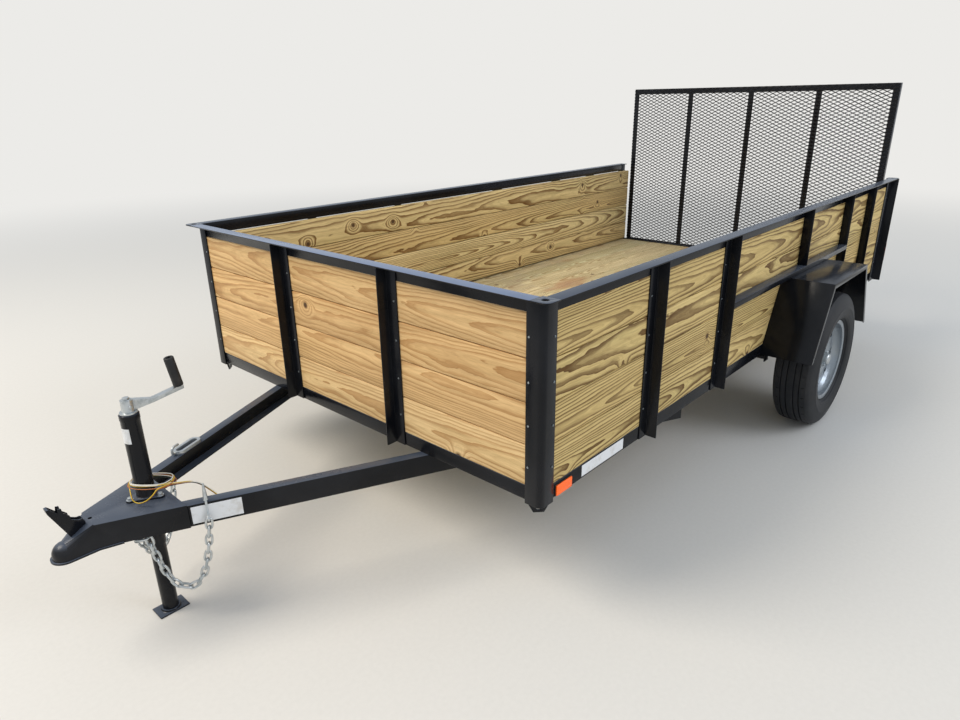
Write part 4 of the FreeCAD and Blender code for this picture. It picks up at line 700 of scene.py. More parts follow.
class Bench:
    """Steps of modelling by hand; each works on the piece that it is given."""

    @staticmethod
    def choose(*pieces: Piece) -> None:
        """Select pieces alone.

        Args:
            pieces: The pieces, of which the first becomes active.
        """
        bpy.ops.object.select_all(action="DESELECT")
        for piece in pieces:
            piece.select_set(True)
        bpy.context.view_layer.objects.active = pieces[0]

    @staticmethod
    @contextmanager
    def opened(piece: Piece) -> Iterator[None]:
        """Edit mode on one piece, with all of it selected.

        Args:
            piece: The piece to edit.

        Returns:
            A context that ends back in object mode.
        """
        Bench.choose(piece)
        bpy.ops.object.mode_set(mode="EDIT")
        bpy.ops.mesh.select_all(action="SELECT")
        yield
        bpy.ops.object.mode_set(mode="OBJECT")

    @staticmethod
    def rename(piece: Piece, name: str) -> Piece:
        """Name a piece and its mesh."""
        piece.name = piece.data.name = name
        return piece

    @staticmethod
    def settle(name: str) -> Piece:
        """Put the new primitive's place into its mesh and name it."""
        bpy.ops.object.transform_apply(location=True, rotation=True, scale=True)
        return Bench.rename(bpy.context.active_object, name)

    @staticmethod
    def block(name: str, low: Sequence[float], high: Sequence[float]) -> Piece:
        """A block between two corners.

        Args:
            name: The piece's name.
            low: Lowest corner.
            high: Highest corner.

        Returns:
            The block.
        """
        bpy.ops.object.select_all(action="DESELECT")
        middle = [(a + b) / 2 for a, b in zip(low, high)]
        span = [b - a for a, b in zip(low, high)]
        bpy.ops.mesh.primitive_cube_add(size=1, location=middle, scale=span)
        return Bench.settle(name)

    @staticmethod
    def rod(name: str, start: Sequence[float], end: Sequence[float], radius: float,
            sides: int = 24) -> Piece:
        """A round rod between two points.

        Args:
            name: The piece's name.
            start: Middle of one end.
            end: Middle of the other end.
            radius: The rod's radius.
            sides: Flat sides round it.

        Returns:
            The rod.
        """
        bpy.ops.object.select_all(action="DESELECT")
        first, second = Vector(start), Vector(end)
        run = second - first
        turn = run.to_track_quat("Z", "Y").to_euler()
        bpy.ops.mesh.primitive_cylinder_add(vertices=sides, radius=radius, depth=run.length,
                                            location=(first + second) / 2, rotation=turn)
        return Bench.settle(name)

    @staticmethod
    def line(name: str, points: Sequence[Point]) -> Piece:
        """A line of edges, drawn by extruding one vertex.

        Args:
            name: The piece's name.
            points: The line's corners.

        Returns:
            The line.
        """
        bpy.ops.object.select_all(action="DESELECT")
        bpy.ops.mesh.primitive_plane_add(size=0.01, location=points[0])
        piece = Bench.settle(name)
        with Bench.opened(piece):
            bpy.ops.mesh.select_mode(type="VERT")
            bpy.ops.mesh.select_all(action="SELECT")
            bpy.ops.mesh.merge(type="CENTER")
            for before, after in zip(points, points[1:]):
                step = Vector(after) - Vector(before)
                bpy.ops.mesh.extrude_region_move(TRANSFORM_OT_translate={"value": step})
        return piece

    @staticmethod
    def turned(name: str, profile: Sequence[tuple[float, float]], steps: int,
               closed: bool = True) -> Piece:
        """A piece turned about the Y axis through the origin.

        Args:
            name: The piece's name.
            profile: Points as (across, radius).
            steps: Faces round the turn.
            closed: Whether the last point joins the first.

        Returns:
            The turned piece, with its faces pointing outwards.
        """
        points = [(0.0, across, out) for across, out in profile]
        if closed:
            points.append(points[0])
        piece = Bench.line(name, points)
        with Bench.opened(piece):
            bpy.ops.mesh.spin(steps=steps, angle=math.tau, center=(0, 0, 0), axis=(0, 1, 0),
                              use_auto_merge=True)
            bpy.ops.mesh.select_all(action="SELECT")
            bpy.ops.mesh.remove_doubles(threshold=0.00005)
            bpy.ops.mesh.normals_make_consistent(inside=False)
        return piece

    @staticmethod
    def prism(name: str, points: Sequence[Point], push: Point) -> Piece:
        """A flat outline filled and pushed out.

        Args:
            name: The piece's name.
            points: Corners of the outline in order.
            push: The way and length of the push.

        Returns:
            The solid piece.
        """
        piece = Bench.line(name, [*points, points[0]])
        with Bench.opened(piece):
            bpy.ops.mesh.remove_doubles(threshold=0.00002)
            bpy.ops.mesh.edge_face_add()
            bpy.ops.mesh.extrude_region_move(TRANSFORM_OT_translate={"value": push})
            bpy.ops.mesh.select_all(action="SELECT")
            bpy.ops.mesh.normals_make_consistent(inside=False)
        return piece

    @staticmethod
    def push_faces(piece: Piece, test: Callable[[Vector, Vector], bool], height: float,
                   inset: float = 0.0) -> None:
        """Inset chosen faces together and push them along their normals.

        Args:
            piece: The piece.
            test: Whether a face is chosen, from its middle and its normal.
            height: How far the faces are pushed.
            inset: How far they are inset before that.
        """
        with Bench.opened(piece):
            bpy.ops.mesh.select_mode(type="FACE")
            bpy.ops.mesh.select_all(action="DESELECT")
            shape = bmesh.from_edit_mesh(piece.data)
            for face in shape.faces:
                face.select_set(test(face.calc_center_median(), face.normal))
            bmesh.update_edit_mesh(piece.data)
            if inset:
                bpy.ops.mesh.inset(thickness=inset)
            bpy.ops.mesh.extrude_region_shrink_fatten(TRANSFORM_OT_shrink_fatten={"value": height})

    @staticmethod
    def modify(piece: Piece, kind: str, **settings: object) -> Piece:
        """Add a modifier and apply it.

        Args:
            piece: The piece.
            kind: The modifier's type.
            settings: Its properties.

        Returns:
            The piece.
        """
        Bench.choose(piece)
        made = piece.modifiers.new(kind.lower(), kind)
        for key, value in settings.items():
            setattr(made, key, value)
        bpy.ops.object.modifier_apply(modifier=made.name)
        return piece

    @staticmethod
    def ease(piece: Piece, width: float, segments: int = 2, angle: float = 34.0) -> Piece:
        """Round the edges that are sharper than an angle in degrees."""
        return Bench.modify(piece, "BEVEL", width=width, segments=segments,
                            limit_method="ANGLE", angle_limit=math.radians(angle))

    @staticmethod
    def polish(piece: Piece, angle: float = 40.0) -> Piece:
        """Shade smooth but for edges sharper than an angle.

        Args:
            piece: The piece.
            angle: The angle in degrees.

        Returns:
            The piece.
        """
        Bench.choose(piece)
        bpy.ops.object.shade_smooth_by_angle(angle=math.radians(angle))
        return piece

    @staticmethod
    def twin(piece: Piece, name: str, move: Matrix) -> Piece:
        """A copy with its own mesh.

        Args:
            piece: The piece to copy.
            name: The copy's name.
            move: How the copy is moved.

        Returns:
            The copy.
        """
        made = piece.copy()
        made.data = piece.data.copy()
        bpy.context.collection.objects.link(made)
        made.data.transform(move)
        return Bench.rename(made, name)

    @staticmethod
    def join(name: str, pieces: Sequence[Piece]) -> Piece:
        """Several pieces as one object.

        Args:
            name: The object's name.
            pieces: The pieces, one or more.

        Returns:
            The object.
        """
        Bench.choose(*pieces)
        if len(pieces) > 1:
            bpy.ops.object.join()
        return Bench.rename(bpy.context.active_object, name)

    @staticmethod
    def discard(piece: Piece) -> None:
        """Remove a piece that served as a tool or pattern."""
        bpy.data.objects.remove(piece, do_unlink=True)

    @staticmethod
    def from_node(node: str, name: str) -> Piece:
        """A clean copy of a CAD node's mesh: welded, with its flat faces whole again.

        Args:
            node: The node's name.
            name: The piece's name.

        Returns:
            The piece.
        """
        made = bpy.data.objects.new(name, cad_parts[node].data.copy())
        made.data.name = name
        bpy.context.collection.objects.link(made)
        with Bench.opened(made):
            bpy.ops.mesh.remove_doubles(threshold=0.00001)
            bpy.ops.mesh.dissolve_limited(angle_limit=math.radians(1.0))
        return made


def solid_boxes(node: str) -> list[tuple[Vector, Vector]]:
    """Corners of each solid of a CAD node.

    Args:
        node: The node's name.

    Returns:
        Lowest and highest corner of each solid, in the order of their lowest corners.
    """
    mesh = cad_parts[node].data
    keys = [tuple(round(value, 5) for value in vertex.co) for vertex in mesh.vertices]
    parent = {key: key for key in keys}

    def top(key: Point) -> Point:
        """The representative of a corner's solid.

        Args:
            key: The corner.

        Returns:
            The corner that stands for its solid.
        """
        while parent[key] != key:
            parent[key] = parent[parent[key]]
            key = parent[key]
        return key

    for polygon in mesh.polygons:
        first = top(keys[polygon.vertices[0]])
        for index in polygon.vertices[1:]:
            parent[top(keys[index])] = first
    groups: dict[Point, list[Point]] = {}
    for key in parent:
        groups.setdefault(top(key), []).append(key)
    boxes = []
    for corners in groups.values():
        low = Vector([min(corner[axis] for corner in corners) for axis in range(3)])
        high = Vector([max(corner[axis] for corner in corners) for axis in range(3)])
        boxes.append((low, high))
    return sorted(boxes, key=lambda box: tuple(round(value, 4) for value in box[0]))


def deliver(piece: Piece, body: Body, finishes: Finishes, key: str,
            replaces: Iterable[str] = ()) -> None:
    """Dress a finished piece, set it on its body and report it.

    Args:
        piece: The finished piece.
        body: The body that it moves with.
        finishes: The trailer's finishes.
        key: Its finish.
        replaces: CAD nodes that it stands for.
    """
    slot, material = finishes.made[key]
    piece.data.materials.clear()
    piece.data.materials.append(material)
    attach(piece, body.value)
    nodes = list(replaces)
    if nodes:
        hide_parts(*nodes)
    LOG.info("%s on %s", piece.name, body.value)


# Camera, light and floor


@dataclass(frozen=True)
class Studio:
    """The camera at the photograph's viewpoint, soft light and a pale floor."""

    place: Point = (2.76375, 2.0556, 1.6011)
    heading: float = 222.61
    dip: float = 20.88
    roll: float = 0.95
    lens: float = 25.42
    sensor: float = 36.0
    clip: tuple[float, float] = (0.05, 200.0)
    floor_size: float = 90.0
    world_colour: str = "#ecebe8"
    world_light: str = "#e3e9f0"
    world_strength: float = 0.80
    lights_aim: Point = (0.0, 0.0, 0.5)
    lights: ClassVar[tuple] = (
        ("key_light", (6.0, -3.0, 7.5), 5.0, 620.0, "#fff3e2"),
        ("fill_light", (-3.0, 8.0, 6.0), 6.0, 330.0, "#eef2fb"),
    )

    def build(self) -> None:
        """Set up the studio."""
        bpy.context.scene.view_settings.view_transform = "Standard"
        self._camera()
        self._world()
        self._lamps()
        bpy.ops.object.select_all(action="DESELECT")
        bpy.ops.mesh.primitive_plane_add(size=self.floor_size, location=(0, 0, 0))
        floor = Bench.settle("studio_floor")
        floor.data.materials.append(StudioFloor().build())

    def _camera(self) -> None:
        """Aim the camera by its heading, dip and roll."""
        heading, dip, roll = (math.radians(v) for v in (self.heading, self.dip, self.roll))
        ahead = Vector((math.cos(heading) * math.cos(dip), math.sin(heading) * math.cos(dip),
                        -math.sin(dip)))
        right = ahead.cross(Vector((0, 0, 1))).normalized()
        down = ahead.cross(right)
        across = right * math.cos(roll) + down * math.sin(roll)
        up = right * math.sin(roll) - down * math.cos(roll)
        data = bpy.data.cameras.new("photo_camera")
        data.lens = self.lens
        data.sensor_width = self.sensor
        data.clip_start, data.clip_end = self.clip
        camera = bpy.data.objects.new("photo_camera", data)
        turn = Matrix((across, up, -ahead)).transposed()
        camera.matrix_world = Matrix.Translation(self.place) @ turn.to_4x4()
        bpy.context.scene.collection.objects.link(camera)
        bpy.context.scene.camera = camera

    def _world(self) -> None:
        """A pale sky that lights softly and is seen as the backdrop."""
        world = bpy.data.worlds.new("studio_world")
        recipe = Recipe(world)
        light = {"Color": srgb(self.world_light), "Strength": self.world_strength}
        shaders = {
            0: recipe.add("ShaderNodeLightPath", {}, {}, "Is Camera Ray"),
            1: recipe.add("ShaderNodeBackground", {}, light),
            2: recipe.add("ShaderNodeBackground", {}, {"Color": srgb(self.world_colour)}),
        }
        mixed = recipe.add("ShaderNodeMixShader", {}, shaders)
        recipe.add("ShaderNodeOutputWorld", {}, {"Surface": mixed})
        bpy.context.scene.world = world

    def _lamps(self) -> None:
        """A broad key light ahead of the trailer and a weak fill behind."""
        for name, place, size, power, colour in self.lights:
            data = bpy.data.lights.new(name, "AREA")
            data.shape = "DISK"
            data.size = size
            data.energy = power
            data.color = srgb(colour)[:3]
            lamp = bpy.data.objects.new(name, data)
            aim = (Vector(self.lights_aim) - Vector(place)).to_track_quat("-Z", "Y")
            lamp.matrix_world = Matrix.Translation(place) @ aim.to_matrix().to_4x4()
            bpy.context.scene.collection.objects.link(lamp)


# Boards


@dataclass
class Lumber:
    """Side, front and floor boards with eased edges, each sawn from a log of its own."""

    ease: float = 0.003
    shrink: float = 0.0004
    gap: float = 0.0009
    pith_near: float = 0.03
    pith_far: float = 0.11
    most_aside: float = 0.05
    lean: float = 0.045
    least_lean_share: float = 0.3
    veer_share: float = 0.5
    log_run: float = 40.0
    knot_shift: float = 3.7
    tone_shift: float = 7.31
    seed: int = 11
    walls: ClassVar[tuple] = (
        ("boards_left", "planks_left", Grain.LENGTHWISE, "side_pine"),
        # The far wall takes the brightened pine, painted light for its shaded inner face.
        ("boards_right", "planks_right", Grain.LENGTHWISE, "far_pine_brightened"),
        ("boards_front", "planks_front", Grain.CROSSWISE, "front_pine"),
        ("floor_boards", "planks_floor", Grain.FLOOR, "floor_pine"),
    )

    def build(self, finishes: Finishes) -> None:
        """Build the four sets of boards.

        Args:
            finishes: The trailer's finishes.
        """
        draw = random.Random(self.seed)
        for node, name, grain, finish in self.walls:
            planks = []
            for index, (low, high) in enumerate(solid_boxes(node)):
                planks.append(self._plank(f"{name}_{index + 1}", low, high, grain, draw))
            wall = Bench.join(name, planks)
            Bench.polish(wall, 50.0)
            deliver(wall, Body.CHASSIS, finishes, finish, [node])

    def _plank(self, name: str, low: Vector, high: Vector, grain: Grain,
               draw: random.Random) -> Piece:
        """One board, a hair smaller than its room, with its place in its log.

        Args:
            name: The board's name.
            low: Lowest corner of its room.
            high: Highest corner of its room.
            grain: Which way it runs.
            draw: Source of the random draws.

        Returns:
            The board.
        """
        along, across, depth = grain.value
        low, high = low.copy(), high.copy()
        low[depth] += draw.uniform(0, self.shrink)
        high[depth] -= draw.uniform(0, self.shrink)
        low[across] += self.gap
        high[across] -= self.gap
        plank = Bench.ease(Bench.block(name, low, high), self.ease)
        middle = (low + high) / 2
        pith = draw.uniform(self.pith_near, self.pith_far) * draw.choice((-1, 1))
        aside = draw.uniform(-self.most_aside, self.most_aside)
        lean = draw.uniform(self.least_lean_share, 1.0) * self.lean * draw.choice((-1, 1))
        veer = draw.uniform(-self.veer_share, self.veer_share) * self.lean
        shift = draw.uniform(0, self.log_run)
        layers = plank.data.attributes
        for layer, kind in (("log_place", "FLOAT_VECTOR"), ("face_place", "FLOAT_VECTOR"),
                            ("tone", "FLOAT")):
            layers.new(layer, kind, "POINT")
        log, flat, tone = (layers[layer] for layer in ("log_place", "face_place", "tone"))
        for vertex in plank.data.vertices:
            run = vertex.co[along] - middle[along]
            side = vertex.co[across] - middle[across]
            deep = vertex.co[depth] - middle[depth]
            log.data[vertex.index].vector = (run + shift, side - aside - veer * run,
                                             deep - pith - lean * run)
            flat.data[vertex.index].vector = (run + shift, side + shift * self.knot_shift, 0.0)
            tone.data[vertex.index].value = (shift * self.tone_shift) % 1.0
        return plank


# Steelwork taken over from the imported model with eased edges


@dataclass
class Steelwork:
    """Rolled bars, posts, rails and folded sheet, with the soft edges of real steel."""

    smooth_below: float = 36.0
    parts: ClassVar[tuple] = (
        ("bottom_frame", Body.CHASSIS, 0.0012, "steel"),
        ("tongue_beam_left", Body.CHASSIS, 0.0014, "steel"),
        ("tongue_beam_right", Body.CHASSIS, 0.0014, "steel"),
        ("cross_members", Body.CHASSIS, 0.0012, "steel"),
        ("top_rail_left", Body.CHASSIS, 0.0014, "steel"),
        ("top_rail_right", Body.CHASSIS, 0.0014, "steel"),
        # The front rail takes the lit copy with the brighter painted sky reflection on its top.
        ("top_rail_front", Body.CHASSIS, 0.0014, "front_rail_sheen"),
        ("uprights_left", Body.CHASSIS, 0.0014, "steel"),
        ("uprights_right", Body.CHASSIS, 0.0014, "steel"),
        ("uprights_front", Body.CHASSIS, 0.0014, "steel"),
        ("corner_posts_front", Body.CHASSIS, 0.001, "steel"),
        ("corner_posts_rear", Body.CHASSIS, 0.0014, "steel"),
        ("corner_caps", Body.CHASSIS, 0.001, "steel"),
        ("tie_down_tabs", Body.CHASSIS, 0.001, "steel"),
        ("fender_left", Body.CHASSIS, 0.001, "sheet"),
        ("fender_right", Body.CHASSIS, 0.001, "sheet"),
        ("fender_rail_left", Body.CHASSIS, 0.0012, "steel"),
        ("fender_rail_right", Body.CHASSIS, 0.0012, "steel"),
        ("axle", Body.CHASSIS, 0.001, "steel"),
        ("leaf_springs", Body.CHASSIS, 0.001, "steel"),
        ("spring_hangers", Body.CHASSIS, 0.001, "steel"),
        ("coupler", Body.CHASSIS, 0.0014, "steel"),
        ("coupler_latch", Body.CHASSIS, 0.0006, "steel"),
        ("gate_frame", Body.GATE, 0.001, "steel"),
        ("gate_hinge_lugs", Body.CHASSIS, 0.001, "steel"),
    )

    def build(self, finishes: Finishes) -> None:
        """Take over each steel part.

        Args:
            finishes: The trailer's finishes.
        """
        for node, body, width, finish in self.parts:
            piece = Bench.from_node(node, f"{node}_steel")
            Bench.ease(piece, width, 2)
            Bench.polish(piece, self.smooth_below)
            deliver(piece, body, finishes, finish, [node])


# Wheels


@dataclass
class Wheel:
    """A trailer tyre on its steel wheel, with hub, nuts and grease cap."""

    side: int
    body: Body
    tyre_radius: float = 0.344
    tyre_half: float = 0.1015
    bead: float = 0.1905
    rim_half: float = 0.075
    groove: float = 0.0075
    steps: int = 144
    hand_holes: int = 8
    slot_depth: float = 0.0035
    slot_inset: float = 0.0058
    slot_every: int = 4
    hand_hole: float = 0.019
    hand_circle: float = 0.14825
    rim_lip: float = 0.207
    nut_circle: float = 0.0571
    nuts: int = 5
    nut_radius: float = 0.0115
    seat_radius: float = 0.0122
    stud_radius: float = 0.0062
    rim_steps: int = 96

    def build(self, finishes: Finishes) -> None:
        """Build the wheel at its place.

        Args:
            finishes: The trailer's finishes.
        """
        word = "left" if self.side > 0 else "right"
        low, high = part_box(f"tyre_{word}")
        middle = (low + high) / 2
        move = Matrix.Translation(middle)
        if self.side < 0:
            move = move @ Matrix.Rotation(math.pi, 4, "Z")
        table = (
            (self._tyre, f"tyre_{word}_rubber", "rubber", [f"tyre_{word}"]),
            (self._rim, f"rim_{word}_steel", "silver", [f"rim_{word}"]),
            (self._hub, f"hub_{word}_steel", "steel", [f"hub_{word}"]),
            (self._nuts, f"wheel_nuts_{word}", "zinc", []),
            (self._cap, f"grease_cap_{word}", "zinc", []),
        )
        for make, name, finish, nodes in table:
            piece = make(name)
            piece.data.transform(move)
            deliver(piece, self.body, finishes, finish, nodes)

    def _tyre(self, name: str) -> Piece:
        """The tyre with its ribs, grooves, mould line and shoulder slots.

        Args:
            name: The piece's name.

        Returns:
            The tyre.
        """
        crown, half = self.tyre_radius, self.tyre_half
        floor = crown - self.groove
        every = self.slot_every
        outside = [(0.0, crown), (0.0125, crown - 0.0001)]
        for left, right in ((0.0150, 0.0205), (0.0410, 0.0465)):
            outside += [(left, crown - 0.0005), (left + 0.001, floor), (right - 0.001, floor),
                        (right, crown - 0.0008)]
        outside += [
            (0.060, crown - 0.0022), (0.0712, crown - 0.005), (0.0719, crown - 0.0046),
            (0.0727, crown - 0.0056), (0.0790, crown - 0.0105),
            (0.0840, crown - 0.0170), (0.0880, crown - 0.0250), (0.0910, crown - 0.0330),
            (0.0932, crown - 0.0400), (0.0962, crown - 0.0490), (0.0990, crown - 0.0640),
            (0.1002, crown - 0.0670), (half, crown - 0.0700), (half, crown - 0.0760),
            (0.1003, crown - 0.0790), (0.0995, crown - 0.0900), (0.0975, crown - 0.1020),
            (0.0945, crown - 0.1120), (0.0950, crown - 0.1135), (0.0925, crown - 0.1190),
            (0.0885, crown - 0.1260), (0.0860, crown - 0.1275), (0.0835, crown - 0.1275),
            (0.0800, crown - 0.1310), (0.0715, crown - 0.1370), (0.0712, self.bead + 0.0006),
            (0.0600, self.bead + 0.0006), (0.0800, crown - 0.1000), (0.0840, crown - 0.0700),
            (0.0660, crown - 0.0200),
        ]
        inside = [(-across, out) for across, out in reversed(outside[1:])]
        tyre = Bench.turned(name, outside + inside, self.steps)

        def notch(middle: Vector, normal: Vector) -> bool:
            """Faces of the shoulder rib that get a narrow slot, one step in four.

            Args:
                middle: A face's middle.
                normal: Its normal.

            Returns:
                Whether it gets a slot.
            """
            out = math.hypot(middle.x, middle.z)
            turn = math.atan2(middle.z, middle.x) / math.tau * self.steps
            return (out > crown - 0.006 and 0.048 < abs(middle.y) < 0.0710
                    and int(math.floor(turn + (0 if middle.y > 0 else every / 2))) % every == 0)

        Bench.push_faces(tyre, notch, -self.slot_depth, self.slot_inset)
        return Bench.polish(tyre, 32.0)

    def _rim(self, name: str) -> Piece:
        """The steel wheel: rolled rim, dished disc and hand holes.

        Args:
            name: The piece's name.

        Returns:
            The wheel.
        """
        lip, half, bead = self.rim_lip, self.rim_half, self.bead
        barrel = [
            (-half, lip - 0.002), (-half + 0.0015, lip), (-half + 0.0032, lip - 0.002),
            (-half + 0.0040, bead + 0.003), (-half + 0.007, bead), (-half + 0.028, bead - 0.001),
            (-half + 0.036, bead - 0.008), (-half + 0.046, bead - 0.0175),
            (half - 0.046, bead - 0.0175), (half - 0.036, bead - 0.008),
            (half - 0.028, bead - 0.001), (half - 0.007, bead), (half - 0.0040, bead + 0.003),
            (half - 0.0032, lip - 0.002), (half - 0.0015, lip), (half, lip - 0.002),
            (half - 0.0005, bead + 0.001), (half - 0.004, bead - 0.0032),
            (half - 0.027, bead - 0.0044), (half - 0.035, bead - 0.0112),
            (half - 0.046, bead - 0.0208), (-half + 0.046, bead - 0.0208),
            (-half + 0.035, bead - 0.0112), (-half + 0.027, bead - 0.0044),
            (-half + 0.004, bead - 0.0032), (-half + 0.0005, bead + 0.001),
        ]
        disc = [
            (0.019, bead - 0.0206), (0.027, bead - 0.0215), (0.0315, bead - 0.0250),
            (0.0335, bead - 0.0320), (0.0345, 0.135), (0.0330, 0.112), (0.0285, 0.092),
            (0.0225, 0.078), (0.0205, 0.070), (0.0200, 0.050), (0.0200, 0.033),
            (0.0185, 0.0315), (0.0155, 0.0315), (0.0155, 0.070), (0.0175, 0.0795),
            (0.0235, 0.0935), (0.0285, 0.113), (0.0300, 0.135), (0.0290, bead - 0.0325),
            (0.0265, bead - 0.0255), (0.019, bead - 0.0245),
        ]
        body = Bench.turned(f"{name}_barrel", barrel, self.rim_steps)
        plate = Bench.turned(f"{name}_disc", disc, self.rim_steps)
        cutters = []
        for index in range(self.hand_holes):
            turn = math.tau * index / self.hand_holes
            x, z = self.hand_circle * math.cos(turn), self.hand_circle * math.sin(turn)
            cutters.append(Bench.rod(f"hand_hole_{index}", (x, -0.06, z), (x, 0.08, z),
                                     self.hand_hole, 20))
        cutter = Bench.join("hand_hole_cutter", cutters)
        Bench.modify(plate, "BOOLEAN", operation="DIFFERENCE", object=cutter, solver="EXACT")
        Bench.discard(cutter)
        Bench.ease(plate, 0.0009, 2, 50.0)
        rim = Bench.join(name, [body, plate])
        return Bench.polish(rim, 38.0)

    def _hub(self, name: str) -> Piece:
        """The hub behind the wheel's disc.

        Args:
            name: The piece's name.

        Returns:
            The hub.
        """
        profile = [
            (-0.060, 0.0173), (-0.060, 0.041), (-0.058, 0.043), (-0.020, 0.042),
            (-0.006, 0.041), (-0.004, 0.044), (-0.004, 0.060), (-0.002, 0.062),
            (0.0135, 0.062), (0.0150, 0.060), (0.0150, 0.030), (0.0240, 0.0295),
            (0.0240, 0.0173),
        ]
        return Bench.polish(Bench.turned(name, profile, 64), 40.0)

    def _nuts(self, name: str) -> Piece:
        """Wheel nuts on their studs, modelled once and set round the hub.

        Args:
            name: The piece's name.

        Returns:
            The nuts as one piece.
        """
        nut = Bench.rod("nut_blank", (0, 0.0202, 0), (0, 0.0385, 0), self.nut_radius, 6)
        Bench.ease(nut, 0.0009, 2, 40.0)
        seat = Bench.rod("nut_seat", (0, 0.0198, 0), (0, 0.0245, 0), self.seat_radius, 24)
        Bench.ease(seat, 0.0012, 2, 50.0)
        stud = Bench.rod("stud", (0, 0.0380, 0), (0, 0.0460, 0), self.stud_radius, 20)
        Bench.ease(stud, 0.0012, 1, 50.0)
        pattern = Bench.join("nut_pattern", [nut, seat, stud])
        copies = []
        for index in range(self.nuts):
            turn = math.tau * index / self.nuts + math.pi / 2
            place = Vector((self.nut_circle * math.cos(turn), 0, self.nut_circle * math.sin(turn)))
            copies.append(Bench.twin(pattern, f"nut_{index}", Matrix.Translation(place)))
        Bench.discard(pattern)
        return Bench.polish(Bench.join(name, copies), 32.0)

    def _cap(self, name: str) -> Piece:
        """The grease cap, a drawn cup with a rounded end.

        Args:
            name: The piece's name.

        Returns:
            The cap.
        """
        profile = [(0.0155, 0.0), (0.0155, 0.0300), (0.0600, 0.0292), (0.0660, 0.0282),
                   (0.0695, 0.0255), (0.0712, 0.0200), (0.0718, 0.0130), (0.0720, 0.0)]
        return Bench.polish(Bench.turned(name, profile, 48, closed=False), 40.0)


# Gate


@dataclass
class GateMesh:
    """Raised expanded metal on the gate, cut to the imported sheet's outline."""

    long_way: float = 0.0508
    short_way: float = 0.0234
    strand: float = 0.0050
    lift: float = 0.0012
    thick: float = 0.0018

    def build(self, finishes: Finishes) -> None:
        """Build the sheet from one diamond.

        Args:
            finishes: The trailer's finishes.
        """
        low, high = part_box("gate_mesh")
        front = high.x
        half_long, half_short = self.long_way / 2, self.short_way / 2
        columns = int((high.y - low.y) / self.long_way) + 3
        rows = int((high.z - low.z) / self.short_way) + 3
        middle = (low + high) / 2
        start = Vector((front - self.thick / 2, middle.y - columns // 2 * self.long_way,
                        low.z - self.short_way))
        corners = [(start.x, start.y + y, start.z + z) for y, z in
                   ((half_long, 0), (0, half_short), (-half_long, 0), (0, -half_short))]
        cell = Bench.line("gate_diamond", [*corners, corners[0]])
        with Bench.opened(cell):
            bpy.ops.mesh.remove_doubles(threshold=0.00002)
            bpy.ops.mesh.edge_face_add()
            bpy.ops.mesh.inset(thickness=self.strand / 2)
            bpy.ops.mesh.delete(type="ONLY_FACE")
        self._raise(cell, start)
        twin = Bench.twin(cell, "gate_diamond_between",
                          Matrix.Translation((0, half_long, half_short)))
        sheet = Bench.join("gate_mesh_metal", [cell, twin])
        for count, offset in ((columns, (0, self.long_way, 0)), (rows, (0, 0, self.short_way))):
            Bench.modify(sheet, "ARRAY", count=count, use_relative_offset=False,
                         use_constant_offset=True, constant_offset_displace=offset,
                         use_merge_vertices=True, merge_threshold=0.00005)
        cuts = (((0, low.y, 0), (0, -1, 0)), ((0, high.y, 0), (0, 1, 0)),
                ((0, 0, low.z), (0, 0, -1)), ((0, 0, high.z), (0, 0, 1)))
        with Bench.opened(sheet):
            for place, normal in cuts:
                bpy.ops.mesh.bisect(plane_co=place, plane_no=normal, clear_outer=True)
                bpy.ops.mesh.select_all(action="SELECT")
            bpy.ops.mesh.remove_doubles(threshold=0.00003)
        Bench.modify(sheet, "SOLIDIFY", thickness=self.thick, offset=0.0)
        deliver(sheet, Body.GATE, finishes, "mesh_steel", ["gate_mesh"])

    def _raise(self, cell: Piece, middle: Vector) -> None:
        """Tip the strands of one diamond, its upper inner corner back, its lower one forward.

        Args:
            cell: The diamond.
            middle: Its middle.
        """
        for vertex in cell.data.vertices:
            side = abs(vertex.co.y - middle.y)
            rise = vertex.co.z - middle.z
            inner = side < 0.001 and abs(rise) < self.short_way / 2 - 0.0005
            if inner:
                vertex.co.x += -self.lift if rise > 0 else self.lift


# Jack


